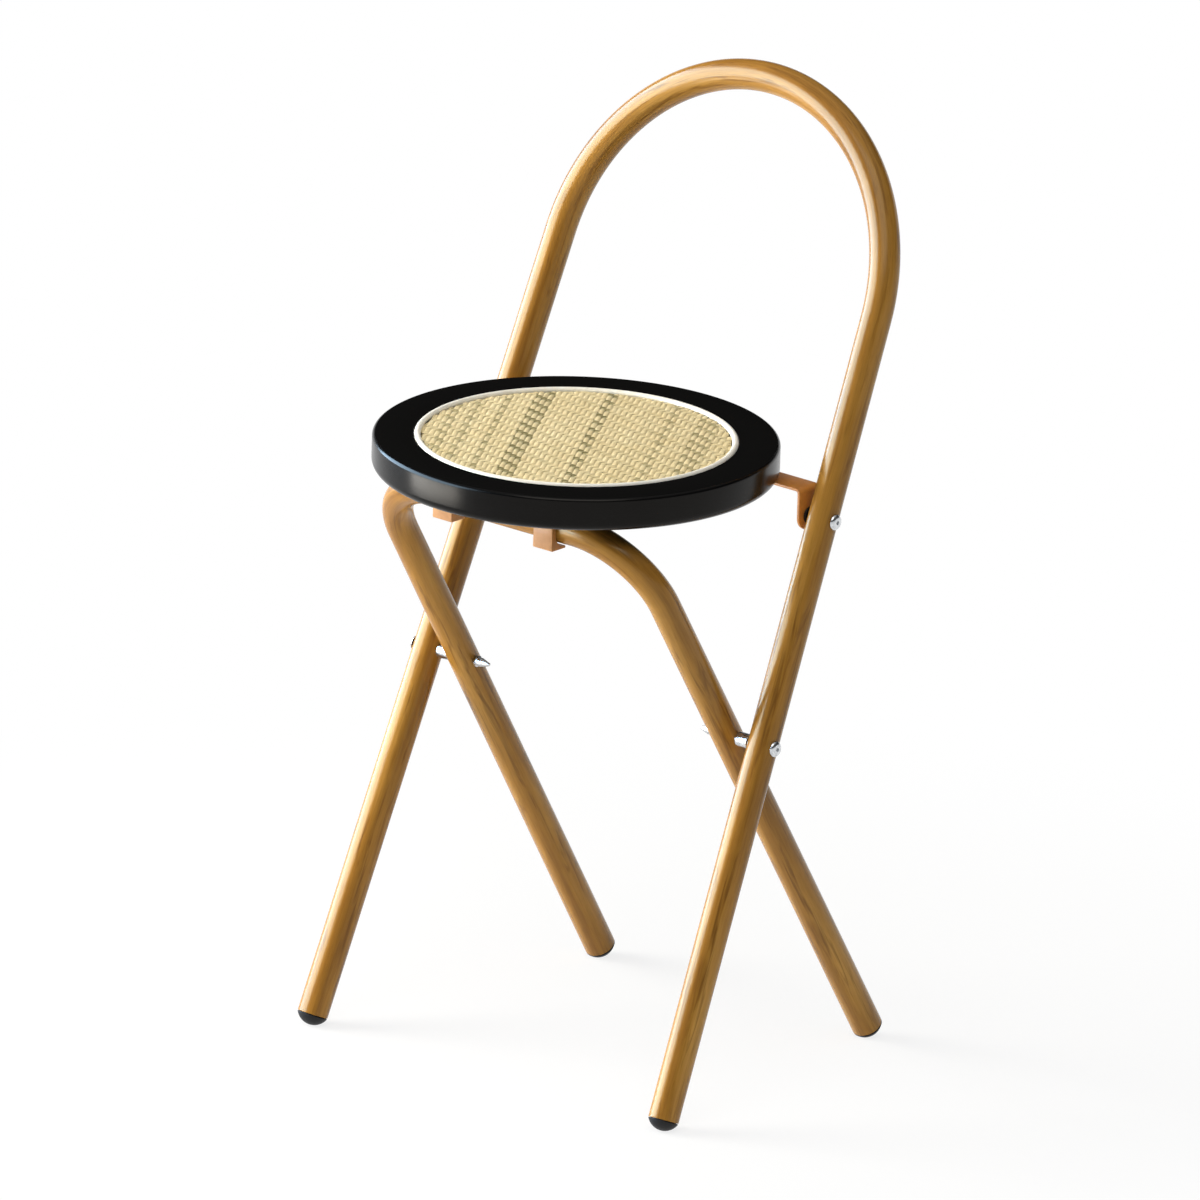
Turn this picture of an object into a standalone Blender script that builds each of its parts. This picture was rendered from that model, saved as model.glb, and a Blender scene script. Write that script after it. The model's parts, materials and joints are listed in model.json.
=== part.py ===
"""Folding stool: a hooped back frame and a front frame of bent tube cross on two bolts,
and a round seat with a woven inset hinges on the back frame and rests on the front frame.

Metres, +Z up, the sitter faces -Y. The origin is on the floor under the middle of the outline.
"""

import math

import bmesh
import bpy
from mathutils import Matrix, Vector

# Seat board
SEAT_HEIGHT = 0.518
SEAT_DIAMETER = 0.326
SEAT_THICKNESS = 0.028
SEAT_TOP_ROUND = 0.003
SEAT_BOTTOM_ROUND = 0.008

# Woven inset and the piping round it
BOARD_BORDER = 0.0335
PIPING = 0.0052
INSET_DEPTH = 0.004
WEAVE_THICKNESS = 0.004
WEAVE_CROWN = 0.0015
WEAVE_EDGE = 0.001

# Tubes
TUBE_DIAMETER = 0.025
TUBE_WALL = 0.0015

# Back frame
BACK_HEIGHT = 0.780
BACK_LEAN = math.radians(22.6)
BACK_SPLAY = math.radians(1.7)

# Front frame
FRONT_WIDTH = 0.279
FRONT_LEAN = math.radians(32.5)
FRONT_SPLAY = math.radians(0.4)
FRONT_BEND = 0.066
CROSSBAR_FROM_RIM = 0.0806

# Where the seat hinges on the back frame: in from the back of the rim, and under the board
HINGE_FROM_RIM = 0.0583
HINGE_BELOW = 0.024

# Gaps along the bolts: between the tubes where they cross, and between tube and seat bracket
CROSS_GAP = 0.0125
HINGE_GAP = 0.0025

# Flat bar bracket under the back of the seat
BRACKET_WIDTH = 0.024
BRACKET_THICKNESS = 0.0025
BRACKET_BEND = 0.002
TAB_BELOW_HINGE = 0.012
TAB_CORNER = 0.0115
BRACKET_SCREW_INNER = 0.030
BRACKET_SCREW_OUTER = 0.085

# Hooks under the front of the seat: a plate, a thick front wall and a lip, hollowed to the crossbar
HOOK_SPACING = 0.106
HOOK_WIDTH = 0.020
HOOK_PLATE = 0.0025
HOOK_WALL = 0.0045
HOOK_FLOOR = 0.002
HOOK_ROUND = 0.0115
HOOK_LIP = 0.012
HOOK_LIP_GAP = 0.0015
HOOK_PLATE_BEHIND = 0.036
HOOK_SCREW_FIRST = 0.012
HOOK_SCREW_PITCH = 0.016

# End plugs
FOOT_DOME = 0.0083
FOOT_FLAT = 0.0004
FOOT_SHANK = 0.020
FOOT_RIB = 0.0008
FOOT_RIB_PITCH = 0.008
FOOT_RIB_LENGTH = 0.004

# Fasteners
BOLT_DIAMETER = 0.005
BOLT_HEAD = 0.013
BOLT_HEAD_HEIGHT = 0.0028
BOLT_CROWN = math.radians(55)
SOCKET_FLATS = 0.003
SOCKET_DEPTH = 0.0018
CROSS_SPACER = 0.012
HINGE_SPACER = 0.014
NUT_FLATS = 0.008
NUT_HEIGHT = 0.004
CAP_DIAMETER = 0.0074
CAP_HEIGHT = 0.011
CAP_STRAIGHT = 0.0025
CAP_TIP = 0.0015
BOLT_PAST_NUT = 0.002
SCREW_DIAMETER = 0.0035
SCREW_HEAD = 0.0072
SCREW_HEAD_DEPTH = 0.0019
SCREW_COVER = 0.006

# Gap between pieces that touch, and how far a cutter runs past what it cuts
FIT = 0.0003
OVERRUN = 0.002

# Facets
TUBE_SIDES = 18
HOOP_STEPS = 26
BEND_STEPS = 8
STRAP_STEPS = 5
BOARD_STEPS = 64
BOLT_STEPS = 16
SCREW_STEPS = 12
ROUND_STEPS = 4
SHARP_ANGLE = math.radians(35)
SAME_PLACE = 1e-6

TUBE_RADIUS = TUBE_DIAMETER / 2
BOLT_RADIUS = BOLT_DIAMETER / 2
SEAT_RADIUS = SEAT_DIAMETER / 2
RING_RADIUS = SEAT_RADIUS - BOARD_BORDER
UNDERSIDE = SEAT_HEIGHT - SEAT_THICKNESS
PLATE_TOP = UNDERSIDE - FIT

# Linkage in the YZ plane, measured from the middle of the seat
HINGE_Y = SEAT_RADIUS - HINGE_FROM_RIM
HINGE_Z = UNDERSIDE - HINGE_BELOW
BAR_Y = CROSSBAR_FROM_RIM - SEAT_RADIUS
BAR_Z = PLATE_TOP - HOOK_PLATE - FIT - TUBE_RADIUS
BACK_FLOOR_Y = HINGE_Y - HINGE_Z * math.tan(BACK_LEAN)
FRONT_FLOOR_Y = BAR_Y + BAR_Z * math.tan(FRONT_LEAN)
CROSS_Z = (FRONT_FLOOR_Y - BACK_FLOOR_Y) / (math.tan(BACK_LEAN) + math.tan(FRONT_LEAN))
CROSS_Y = BACK_FLOOR_Y + CROSS_Z * math.tan(BACK_LEAN)

# Each frame lies in a leaning plane through the floor line; distances up the plane are called slope
BACK_UP = Vector((0, math.sin(BACK_LEAN), math.cos(BACK_LEAN)))
FRONT_UP = Vector((0, -math.sin(FRONT_LEAN), math.cos(FRONT_LEAN)))
BACK_FLOOR = Vector((0, BACK_FLOOR_Y, 0))
FRONT_FLOOR = Vector((0, FRONT_FLOOR_Y, 0))

# Half the width of each frame where the frames cross, and a tube's half width along X
BACK_HALF_AT_CROSS = FRONT_WIDTH / 2 + TUBE_DIAMETER + CROSS_GAP
BACK_TUBE_HALF = TUBE_RADIUS / math.cos(BACK_SPLAY)
FRONT_TUBE_HALF = TUBE_RADIUS / math.cos(FRONT_SPLAY)

# The domed end of a plug is part of a sphere centred on the leg's axis
DOME_RADIUS = (TUBE_RADIUS ** 2 + FOOT_DOME ** 2) / (2 * FOOT_DOME)
DOME_CENTRE_Z = DOME_RADIUS - FOOT_FLAT
DOME_RISE = DOME_RADIUS - FOOT_DOME

# The outline runs from the front of the seat to the back of the hoop, and the origin is midway
HOOP_TOP_SLOPE = (BACK_HEIGHT - TUBE_RADIUS) / math.cos(BACK_LEAN)
OUTLINE_BACK = BACK_FLOOR_Y + HOOP_TOP_SLOPE * math.sin(BACK_LEAN) + TUBE_RADIUS
OUTLINE_MIDDLE = (OUTLINE_BACK - SEAT_RADIUS) / 2


def back_half(slope):
    """Half the width between the back frame's leg axes at a distance up its plane."""
    cross_slope = CROSS_Z / math.cos(BACK_LEAN)
    return BACK_HALF_AT_CROSS - (slope - cross_slope) * math.tan(BACK_SPLAY)


def front_half(slope):
    """Half the width between the front frame's leg axes at a distance up its plane."""
    cross_slope = CROSS_Z / math.cos(FRONT_LEAN)
    return FRONT_WIDTH / 2 - (slope - cross_slope) * math.tan(FRONT_SPLAY)


def clear_scene():
    for old in list(bpy.data.objects):
        bpy.data.objects.remove(old)


def finish(name, colour, roughness, metallic=0.0):
    made = bpy.data.materials.new(name)
    made.use_nodes = True
    shader = made.node_tree.nodes["Principled BSDF"]
    shader.inputs["Base Color"].default_value = (*colour, 1.0)
    shader.inputs["Roughness"].default_value = roughness
    shader.inputs["Metallic"].default_value = metallic
    return made


def add_empty(name, at, parent=None):
    empty = bpy.data.objects.new(name, None)
    empty.parent = parent
    empty.location = at
    bpy.context.scene.collection.objects.link(empty)
    return empty


def add_part(name, shape, parent, at, look=None, turn=None):
    """Makes an object from a bmesh; at is in seat-centred coordinates, as every parent's place is."""
    bmesh.ops.recalc_face_normals(shape, faces=shape.faces)
    mesh = bpy.data.meshes.new(name)
    shape.to_mesh(mesh)
    shape.free()
    mesh.shade_smooth()
    mesh.set_sharp_from_angle(angle=SHARP_ANGLE)
    if look:
        mesh.materials.append(look)
    part = bpy.data.objects.new(name, mesh)
    bpy.context.scene.collection.objects.link(part)
    part.parent = parent
    part.location = Vector(at) - Vector(parent["place"])
    if turn:
        part.rotation_mode = "QUATERNION"
        part.rotation_quaternion = turn.to_quaternion()
    return part


def add_cutter(name, shape, parent, at, turn=None):
    cutter = add_part(name, shape, parent, at, turn=turn)
    cutter.hide_render = True
    cutter.display_type = "WIRE"
    return cutter


def combine(part, operation, other):
    step = part.modifiers.new(other.name, "BOOLEAN")
    step.operation = operation
    step.solver = "EXACT"
    step.object = other


def turned(profile, steps, ring=False):
    """Turns (radius, height) points about Z. A ring's profile is a loop clear of the axis."""
    shape = bmesh.new()
    points = [shape.verts.new((radius, 0, height)) for radius, height in profile]
    ends = list(zip(points, points[1:]))
    if ring:
        ends.append((points[-1], points[0]))
    outline = points + [shape.edges.new(pair) for pair in ends]
    up = (0, 0, 1)
    bmesh.ops.spin(shape, geom=outline, cent=(0, 0, 0), axis=up, angle=math.tau, steps=steps, use_merge=True)
    bmesh.ops.remove_doubles(shape, verts=shape.verts, dist=SAME_PLACE)
    return shape


def arc(centre, radius, start, end, steps):
    """Points on an arc, both ends included; angles in radians from the first axis."""
    angles = [start + (end - start) * i / steps for i in range(steps + 1)]
    return [(centre[0] + radius * math.cos(a), centre[1] + radius * math.sin(a)) for a in angles]


def cylinder(radius, low, high, steps=BOLT_STEPS):
    return turned([(0, low), (radius, low), (radius, high), (0, high)], steps)


def sleeve(outer, inner, length):
    return turned([(inner, 0), (outer, 0), (outer, length), (inner, length)], BOLT_STEPS, ring=True)


def hexagon(flats, low, high):
    return cylinder(flats / math.sqrt(3), low, high, 6)


def swept_tube(path, across, outer, inner):
    """Carries a hollow round section along a flat path of (point, tangent); across is the plane's normal."""
    shape = bmesh.new()
    angles = [math.tau * i / TUBE_SIDES for i in range(TUBE_SIDES)]
    walls = []
    for radius in (outer, inner):
        rows = []
        for point, tangent in path:
            side = tangent.cross(across)
            ring = [point + radius * (across * math.cos(a) + side * math.sin(a)) for a in angles]
            rows.append([shape.verts.new(place) for place in ring])
        walls.append(rows)
    for rows in walls:
        for first, second in zip(rows, rows[1:]):
            for i in range(TUBE_SIDES):
                j = (i + 1) % TUBE_SIDES
                shape.faces.new((first[i], first[j], second[j], second[i]))
    for end in (0, -1):
        for i in range(TUBE_SIDES):
            j = (i + 1) % TUBE_SIDES
            shape.faces.new((walls[0][end][i], walls[0][end][j], walls[1][end][j], walls[1][end][i]))
    return shape


def filleted(corners, radius):
    """A flat run of points through corners, each inner corner rounded at the given radius."""
    run = [Vector(corners[0])]
    for before, corner, after in zip(corners, corners[1:], corners[2:]):
        corner = Vector(corner)
        back = (Vector(before) - corner).normalized()
        ahead = (Vector(after) - corner).normalized()
        half = back.angle(ahead) / 2
        centre = corner + (back + ahead).normalized() * radius / math.sin(half)
        start = (corner + back * radius / math.tan(half) - centre).normalized()
        end = (corner + ahead * radius / math.tan(half) - centre).normalized()
        for i in range(STRAP_STEPS + 1):
            run.append(centre + start.slerp(end, i / STRAP_STEPS) * radius)
    run.append(Vector(corners[-1]))
    return run


def bent_strap(corners, bend, thickness, width, plane):
    """A strip of flat bar: a filleted middle line in one plane, thickened, then extruded to its width.

    plane maps (along, up, across) to a point."""
    line = filleted(corners, bend)
    before = line[:1] + line[:-1]
    after = line[1:] + line[-1:]
    tangents = [(b - a).normalized() for a, b in zip(before, after)]
    shape = bmesh.new()
    layers = []
    for across in (-width / 2, width / 2):
        for side in (thickness / 2, -thickness / 2):
            places = [point + Vector((-t.y, t.x)) * side for point, t in zip(line, tangents)]
            layers.append([shape.verts.new(plane(place.x, place.y, across)) for place in places])
    near_top, near_low, far_top, far_low = layers
    for first, second in ((near_top, near_low), (near_low, far_low), (far_low, far_top), (far_top, near_top)):
        for i in range(len(line) - 1):
            shape.faces.new((first[i], first[i + 1], second[i + 1], second[i]))
    for end in (0, -1):
        shape.faces.new((near_top[end], near_low[end], far_low[end], far_top[end]))
    return shape


def prism(outline, width):
    """A flat outline of (y, z) points, extruded along X about its middle."""
    shape = bmesh.new()
    rims = [[shape.verts.new((x, y, z)) for y, z in outline] for x in (-width / 2, width / 2)]
    near, far = rims
    for i, j in zip(range(len(outline)), [*range(1, len(outline)), 0]):
        shape.faces.new((near[i], near[j], far[j], far[i]))
    for rim in rims:
        shape.faces.new(rim)
    return shape


def leg_end(lean, splay):
    """Slope of the plug's dome centre and of the tube's end on a leg."""
    dome_slope = DOME_CENTRE_Z / math.cos(lean)
    return dome_slope, dome_slope - (DOME_RISE - FIT) * math.cos(splay)


def leg_direction(up, splay, side):
    """Unit vector up a leg, which narrows by the splay as it rises."""
    return (up * math.cos(splay) - Vector((side, 0, 0)) * math.sin(splay)).normalized()


def frame_path(floor, up, half, splay, foot_slope, corner, radius, steps):
    """One leg up, round a bend at each shoulder and down the other leg.

    corner is the (x, slope) centre of the left shoulder's bend. With x = 0 the two bends make one hoop."""
    direction = leg_direction(up, splay, 1)
    foot = floor + up * foot_slope + Vector((half(foot_slope), 0, 0))
    path = [(foot, direction)]
    for x, y in arc(corner, radius, splay, math.pi / 2, steps):
        angle = math.atan2(y - corner[1], x - corner[0])
        tangent = up * math.cos(angle) - Vector((math.sin(angle), 0, 0))
        path.append((floor + up * y + Vector((x, 0, 0)), tangent))
    mirror = Matrix.Scale(-1, 3, (1, 0, 0))
    other = [(mirror @ point, -(mirror @ tangent)) for point, tangent in reversed(path)]
    if corner[0] == 0:
        other = other[1:]
    return path + other


def moved(path, pivot):
    return [(point - pivot, tangent) for point, tangent in path]


def make_back_frame(parent, look):
    """Inverted U: two splayed legs and a hoop tangent to them."""
    _, end = leg_end(BACK_LEAN, BACK_SPLAY)
    narrowing = math.sin(BACK_SPLAY)
    radius = back_half(HOOP_TOP_SLOPE) * math.cos(BACK_SPLAY) / (1 - narrowing)
    centre = (0, HOOP_TOP_SLOPE - radius)
    path = frame_path(BACK_FLOOR, BACK_UP, back_half, BACK_SPLAY, end, centre, radius, HOOP_STEPS // 2)
    across = Vector((1, 0, 0)).cross(BACK_UP)
    shape = swept_tube(path, across, TUBE_RADIUS, TUBE_RADIUS - TUBE_WALL)
    return add_part("back_frame", shape, parent, (0, 0, 0), look)


def make_front_frame(parent, look):
    """U of tube whose crossbar carries the front of the seat. Its origin is on the crossing axis."""
    _, end = leg_end(FRONT_LEAN, FRONT_SPLAY)
    bar_slope = BAR_Z / math.cos(FRONT_LEAN)
    bend_slope = bar_slope - FRONT_BEND
    centre = (front_half(bend_slope) - FRONT_BEND / math.cos(FRONT_SPLAY), bend_slope)
    path = frame_path(FRONT_FLOOR, FRONT_UP, front_half, FRONT_SPLAY, end, centre, FRONT_BEND, BEND_STEPS)
    pivot = Vector((0, CROSS_Y, CROSS_Z))
    across = Vector((1, 0, 0)).cross(FRONT_UP)
    shape = swept_tube(moved(path, pivot), across, TUBE_RADIUS, TUBE_RADIUS - TUBE_WALL)
    return add_part("front_frame", shape, parent, pivot, look)


def make_foot(name, parent, look, floor, up, lean, splay, half, side):
    """End plug: domed head flush with the tube, ribbed shank inside it, a small flat where it stands."""
    dome_slope, _ = leg_end(lean, splay)
    centre = floor + up * dome_slope + Vector((side * half(dome_slope), 0, 0))
    shank = TUBE_RADIUS - TUBE_WALL - FIT
    core = shank - FOOT_RIB
    shoulder = -DOME_RISE
    profile = arc((0, 0), DOME_RADIUS, -math.pi / 2, -math.asin(DOME_RISE / DOME_RADIUS), 2 * ROUND_STEPS)
    profile[0] = (0, -DOME_RADIUS)
    profile.append((core, shoulder))
    for number in (1, 2):
        top = shoulder + number * FOOT_RIB_PITCH
        profile += [(core, top - FOOT_RIB_LENGTH), (shank, top - FOOT_RIB_LENGTH + FOOT_RIB), (core, top)]
    profile += [(core, shoulder + FOOT_SHANK), (0, shoulder + FOOT_SHANK)]
    turn = leg_direction(up, splay, side).to_track_quat("Z", "Y").to_matrix()
    foot = add_part(name, turned(profile, TUBE_SIDES), parent, centre, look, turn)
    ground = bmesh.new()
    depth = 2 * TUBE_DIAMETER
    bmesh.ops.create_cube(ground, size=2 * depth)
    under = (centre.x, centre.y, -depth)
    combine(foot, "DIFFERENCE", add_cutter(name + "_floor", ground, parent, under))


def make_board(parent, look):
    """Round board, both rims rounded, with a flat recess for the woven inset."""
    recess = RING_RADIUS + FIT
    top = SEAT_HEIGHT
    low_centre = (SEAT_RADIUS - SEAT_BOTTOM_ROUND, UNDERSIDE + SEAT_BOTTOM_ROUND)
    top_centre = (SEAT_RADIUS - SEAT_TOP_ROUND, top - SEAT_TOP_ROUND)
    profile = [(0, UNDERSIDE)]
    profile += arc(low_centre, SEAT_BOTTOM_ROUND, -math.pi / 2, 0, ROUND_STEPS + 1)
    profile += arc(top_centre, SEAT_TOP_ROUND, 0, math.pi / 2, ROUND_STEPS)
    profile += [(recess, top), (recess, top - INSET_DEPTH), (0, top - INSET_DEPTH)]
    lowered = [(radius, height - HINGE_Z) for radius, height in profile]
    return add_part("seat_board", turned(lowered, BOARD_STEPS), parent, (0, 0, HINGE_Z), look)


def make_ring(parent, look):
    """Piping that lies in the recess against its wall."""
    centre = (RING_RADIUS - PIPING / 2, 0)
    section = arc(centre, PIPING / 2, 0, math.tau, 2 * ROUND_STEPS)[:-1]
    height = SEAT_HEIGHT - INSET_DEPTH + FIT + PIPING / 2
    add_part("seat_ring", turned(section, BOARD_STEPS, ring=True), parent, (0, 0, height), look)


def make_weave(parent, look):
    """Woven panel inside the piping: a thin disc with a rounded edge and a slight crown."""
    rim = RING_RADIUS - PIPING - FIT
    edge_top = WEAVE_THICKNESS - WEAVE_EDGE
    profile = [(0, 0), (rim, 0)]
    profile += arc((rim - WEAVE_EDGE, edge_top), WEAVE_EDGE, 0, math.pi / 2, ROUND_STEPS - 1)
    for i in range(ROUND_STEPS - 1, -1, -1):
        share = i / ROUND_STEPS
        profile.append(((rim - WEAVE_EDGE) * share, WEAVE_THICKNESS + WEAVE_CROWN * (1 - share ** 2)))
    floor = SEAT_HEIGHT - INSET_DEPTH + FIT
    add_part("seat_weave", turned(profile, BOARD_STEPS), parent, (0, 0, floor), look)


def screw_profile(length, gap=0.0):
    """Countersunk screw pointing up, its head's flat at height 0. A gap grows it into its own hole."""
    head = SCREW_HEAD / 2 + gap
    shank = SCREW_DIAMETER / 2 + gap
    tip = length - SCREW_DIAMETER / 2
    mouth = [(0, -OVERRUN), (head, -OVERRUN)] if gap else [(0, 0)]
    return mouth + [(head, 0), (shank, SCREW_HEAD_DEPTH), (shank, tip + gap), (0, length + gap)]


def make_screw(name, parent, look, board, strap, at):
    """Screw flush with the strap's lower face, its point short of the recess by a named cover."""
    length = SEAT_HEIGHT - INSET_DEPTH - SCREW_COVER - at[2]
    add_part(name, turned(screw_profile(length), SCREW_STEPS), parent, at, look)
    hole = add_cutter(name + "_hole", turned(screw_profile(length, FIT), SCREW_STEPS), parent, at)
    for piece in (board, strap):
        combine(piece, "DIFFERENCE", hole)


def make_bracket(parent, look, tab_x):
    """Flat bar across the board, its ends bent down into round-cornered tabs."""
    middle = PLATE_TOP - BRACKET_THICKNESS / 2 - HINGE_Z
    low = -TAB_BELOW_HINGE
    reach = tab_x - BRACKET_THICKNESS / 2
    corners = [(-reach, low), (-reach, middle), (reach, middle), (reach, low)]
    bend = BRACKET_BEND + BRACKET_THICKNESS / 2
    shape = bent_strap(
        corners,
        bend,
        BRACKET_THICKNESS,
        BRACKET_WIDTH,
        lambda along, up, across: (along, across, up),
    )
    tips = []
    for edge in shape.edges:
        first, second = (end.co for end in edge.verts)
        at_tip = max(first.z, second.z) < low + SAME_PLACE
        if at_tip and abs(first.y - second.y) < SAME_PLACE:
            tips.append(edge)
    bmesh.ops.bevel(shape, geom=tips, offset=TAB_CORNER, segments=ROUND_STEPS, profile=0.5, affect="EDGES")
    return add_part("rear_bracket", shape, parent, (0, HINGE_Y, HINGE_Z), look)


def make_hook(name, parent, look, x):
    """Block that lies under the board, stands in front of the crossbar and reaches under it."""
    wall = BAR_Y - TUBE_RADIUS - FIT
    front = wall - HOOK_WALL
    lip = BAR_Z - TUBE_RADIUS - HOOK_LIP_GAP
    floor = lip - HOOK_FLOOR
    lip_end = wall + HOOK_LIP
    plate_end = BAR_Y + TUBE_RADIUS + HOOK_PLATE_BEHIND
    hollow = (wall + HOOK_ROUND, lip + HOOK_ROUND)
    outline = [(plate_end, PLATE_TOP), (front, PLATE_TOP), (front, floor), (lip_end, floor), (lip_end, lip)]
    outline += arc(hollow, HOOK_ROUND, -math.pi / 2, -math.pi, 2 * ROUND_STEPS)
    outline += [(wall, PLATE_TOP - HOOK_PLATE), (plate_end, PLATE_TOP - HOOK_PLATE)]
    shape = prism([(y - HINGE_Y, z - HINGE_Z) for y, z in outline], HOOK_WIDTH)
    return add_part(name, shape, parent, (x, HINGE_Y, HINGE_Z), look)


def facing(side):
    """Turns a piece's own Z outwards along X on one side of the stool."""
    return Matrix.Rotation(side * math.pi / 2, 3, "Y")


def make_bolt(name, parent, look, length, at, side):
    """Button-head bolt: its head's seat at height 0, shank below, hexagon socket in the head."""
    head = BOLT_HEAD / 2
    crown = arc((0, 0), 1, 0, BOLT_CROWN, ROUND_STEPS)
    profile = [(0, -length), (BOLT_RADIUS, -length), (BOLT_RADIUS, 0)]
    profile += [(head * x, BOLT_HEAD_HEIGHT * y / crown[-1][1]) for x, y in crown]
    profile.append((0, BOLT_HEAD_HEIGHT))
    bolt = add_part(name, turned(profile, BOLT_STEPS), parent, at, look, facing(side))
    socket = hexagon(SOCKET_FLATS, BOLT_HEAD_HEIGHT - SOCKET_DEPTH, BOLT_HEAD_HEIGHT + OVERRUN)
    combine(bolt, "DIFFERENCE", add_cutter(name + "_socket", socket, parent, at, facing(side)))


def make_cap_nut(name, parent, look, bore_depth, at, side):
    """Cap nut: a hexagon under a tapering cap, with a blind bore for the bolt's end."""
    nut = add_part(name, hexagon(NUT_FLATS, -NUT_HEIGHT, 0), parent, at, look, facing(side))
    waist = CAP_DIAMETER / 2
    end = -NUT_HEIGHT - CAP_HEIGHT
    profile = [(0, -NUT_HEIGHT / 2), (waist, -NUT_HEIGHT / 2), (waist, -NUT_HEIGHT - CAP_STRAIGHT)]
    profile += arc((0, end + CAP_TIP), CAP_TIP, 0, -math.pi / 2, ROUND_STEPS)
    profile[-1] = (0, end)
    cap = add_cutter(name + "_cap", turned(profile, BOLT_STEPS), parent, at, facing(side))
    bore = cylinder(BOLT_RADIUS + FIT, -bore_depth, OVERRUN)
    combine(nut, "UNION", cap)
    combine(nut, "DIFFERENCE", add_cutter(name + "_bore", bore, parent, at, facing(side)))


def make_nut(name, parent, look, at, side):
    nut = add_part(name, hexagon(NUT_FLATS, -NUT_HEIGHT, 0), parent, at, look, facing(side))
    bore = cylinder(BOLT_RADIUS + FIT, -NUT_HEIGHT - OVERRUN, OVERRUN)
    combine(nut, "DIFFERENCE", add_cutter(name + "_bore", bore, parent, at, facing(side)))


def drill(name, part, parent, x, axis, half, side):
    """A bolt hole along X through both walls of a tube, or through a tab."""
    reach = half + OVERRUN
    hole = cylinder(BOLT_RADIUS + FIT, -reach, reach)
    combine(part, "DIFFERENCE", add_cutter(name, hole, parent, (side * x, *axis), facing(side)))


def make_crossing(parents, frames, looks, side, word):
    """Bolt, spacer and cap nut where the two frames cross."""
    back_outside = BACK_HALF_AT_CROSS + BACK_TUBE_HALF + FIT
    back_inside = BACK_HALF_AT_CROSS - BACK_TUBE_HALF - FIT
    front_outside = FRONT_WIDTH / 2 + FRONT_TUBE_HALF + FIT
    front_inside = FRONT_WIDTH / 2 - FRONT_TUBE_HALF - FIT
    tip = NUT_HEIGHT + BOLT_PAST_NUT
    axis = (CROSS_Y, CROSS_Z)
    length = back_outside - front_inside + tip
    head_at = (side * back_outside, *axis)
    spacer_at = (side * front_outside, *axis)
    nut_at = (side * front_inside, *axis)
    make_bolt("cross_bolt_" + word, parents["back"], looks["zinc"], length, head_at, side)
    spacer = sleeve(CROSS_SPACER / 2, BOLT_RADIUS + FIT, back_inside - front_outside)
    add_part("cross_spacer_" + word, spacer, parents["back"], spacer_at, looks["zinc"], facing(side))
    make_cap_nut("cross_nut_" + word, parents["back"], looks["zinc"], tip + 2 * FIT, nut_at, side)
    name = "cross_hole_" + word
    drill(name + "_back", frames["back"], parents["back"], BACK_HALF_AT_CROSS, axis, BACK_TUBE_HALF, side)
    drill(name + "_front", frames["front"], parents["front"], FRONT_WIDTH / 2, axis, FRONT_TUBE_HALF, side)


def make_hinge(parents, frames, bracket, looks, side, word, tube_x, tab_x):
    """Bolt, spacer and nut that carry one tab of the seat's bracket."""
    outside = tube_x + BACK_TUBE_HALF + FIT
    nut_face = tab_x - BRACKET_THICKNESS - FIT
    axis = (HINGE_Y, HINGE_Z)
    length = outside - nut_face + NUT_HEIGHT + BOLT_PAST_NUT
    make_bolt("seat_bolt_" + word, parents["back"], looks["zinc"], length, (side * outside, *axis), side)
    spacer = sleeve(HINGE_SPACER / 2, BOLT_RADIUS + FIT, HINGE_GAP - 2 * FIT)
    place = (side * (tab_x + FIT), *axis)
    add_part("seat_spacer_" + word, spacer, parents["back"], place, looks["black_plastic"], facing(side))
    make_nut("seat_nut_" + word, parents["back"], looks["zinc"], (side * nut_face, *axis), side)
    name = "seat_hole_" + word
    drill(name + "_tube", frames["back"], parents["back"], tube_x, axis, BACK_TUBE_HALF, side)
    drill(name + "_tab", bracket, parents["seat"], tab_x, axis, BRACKET_THICKNESS, side)


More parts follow.
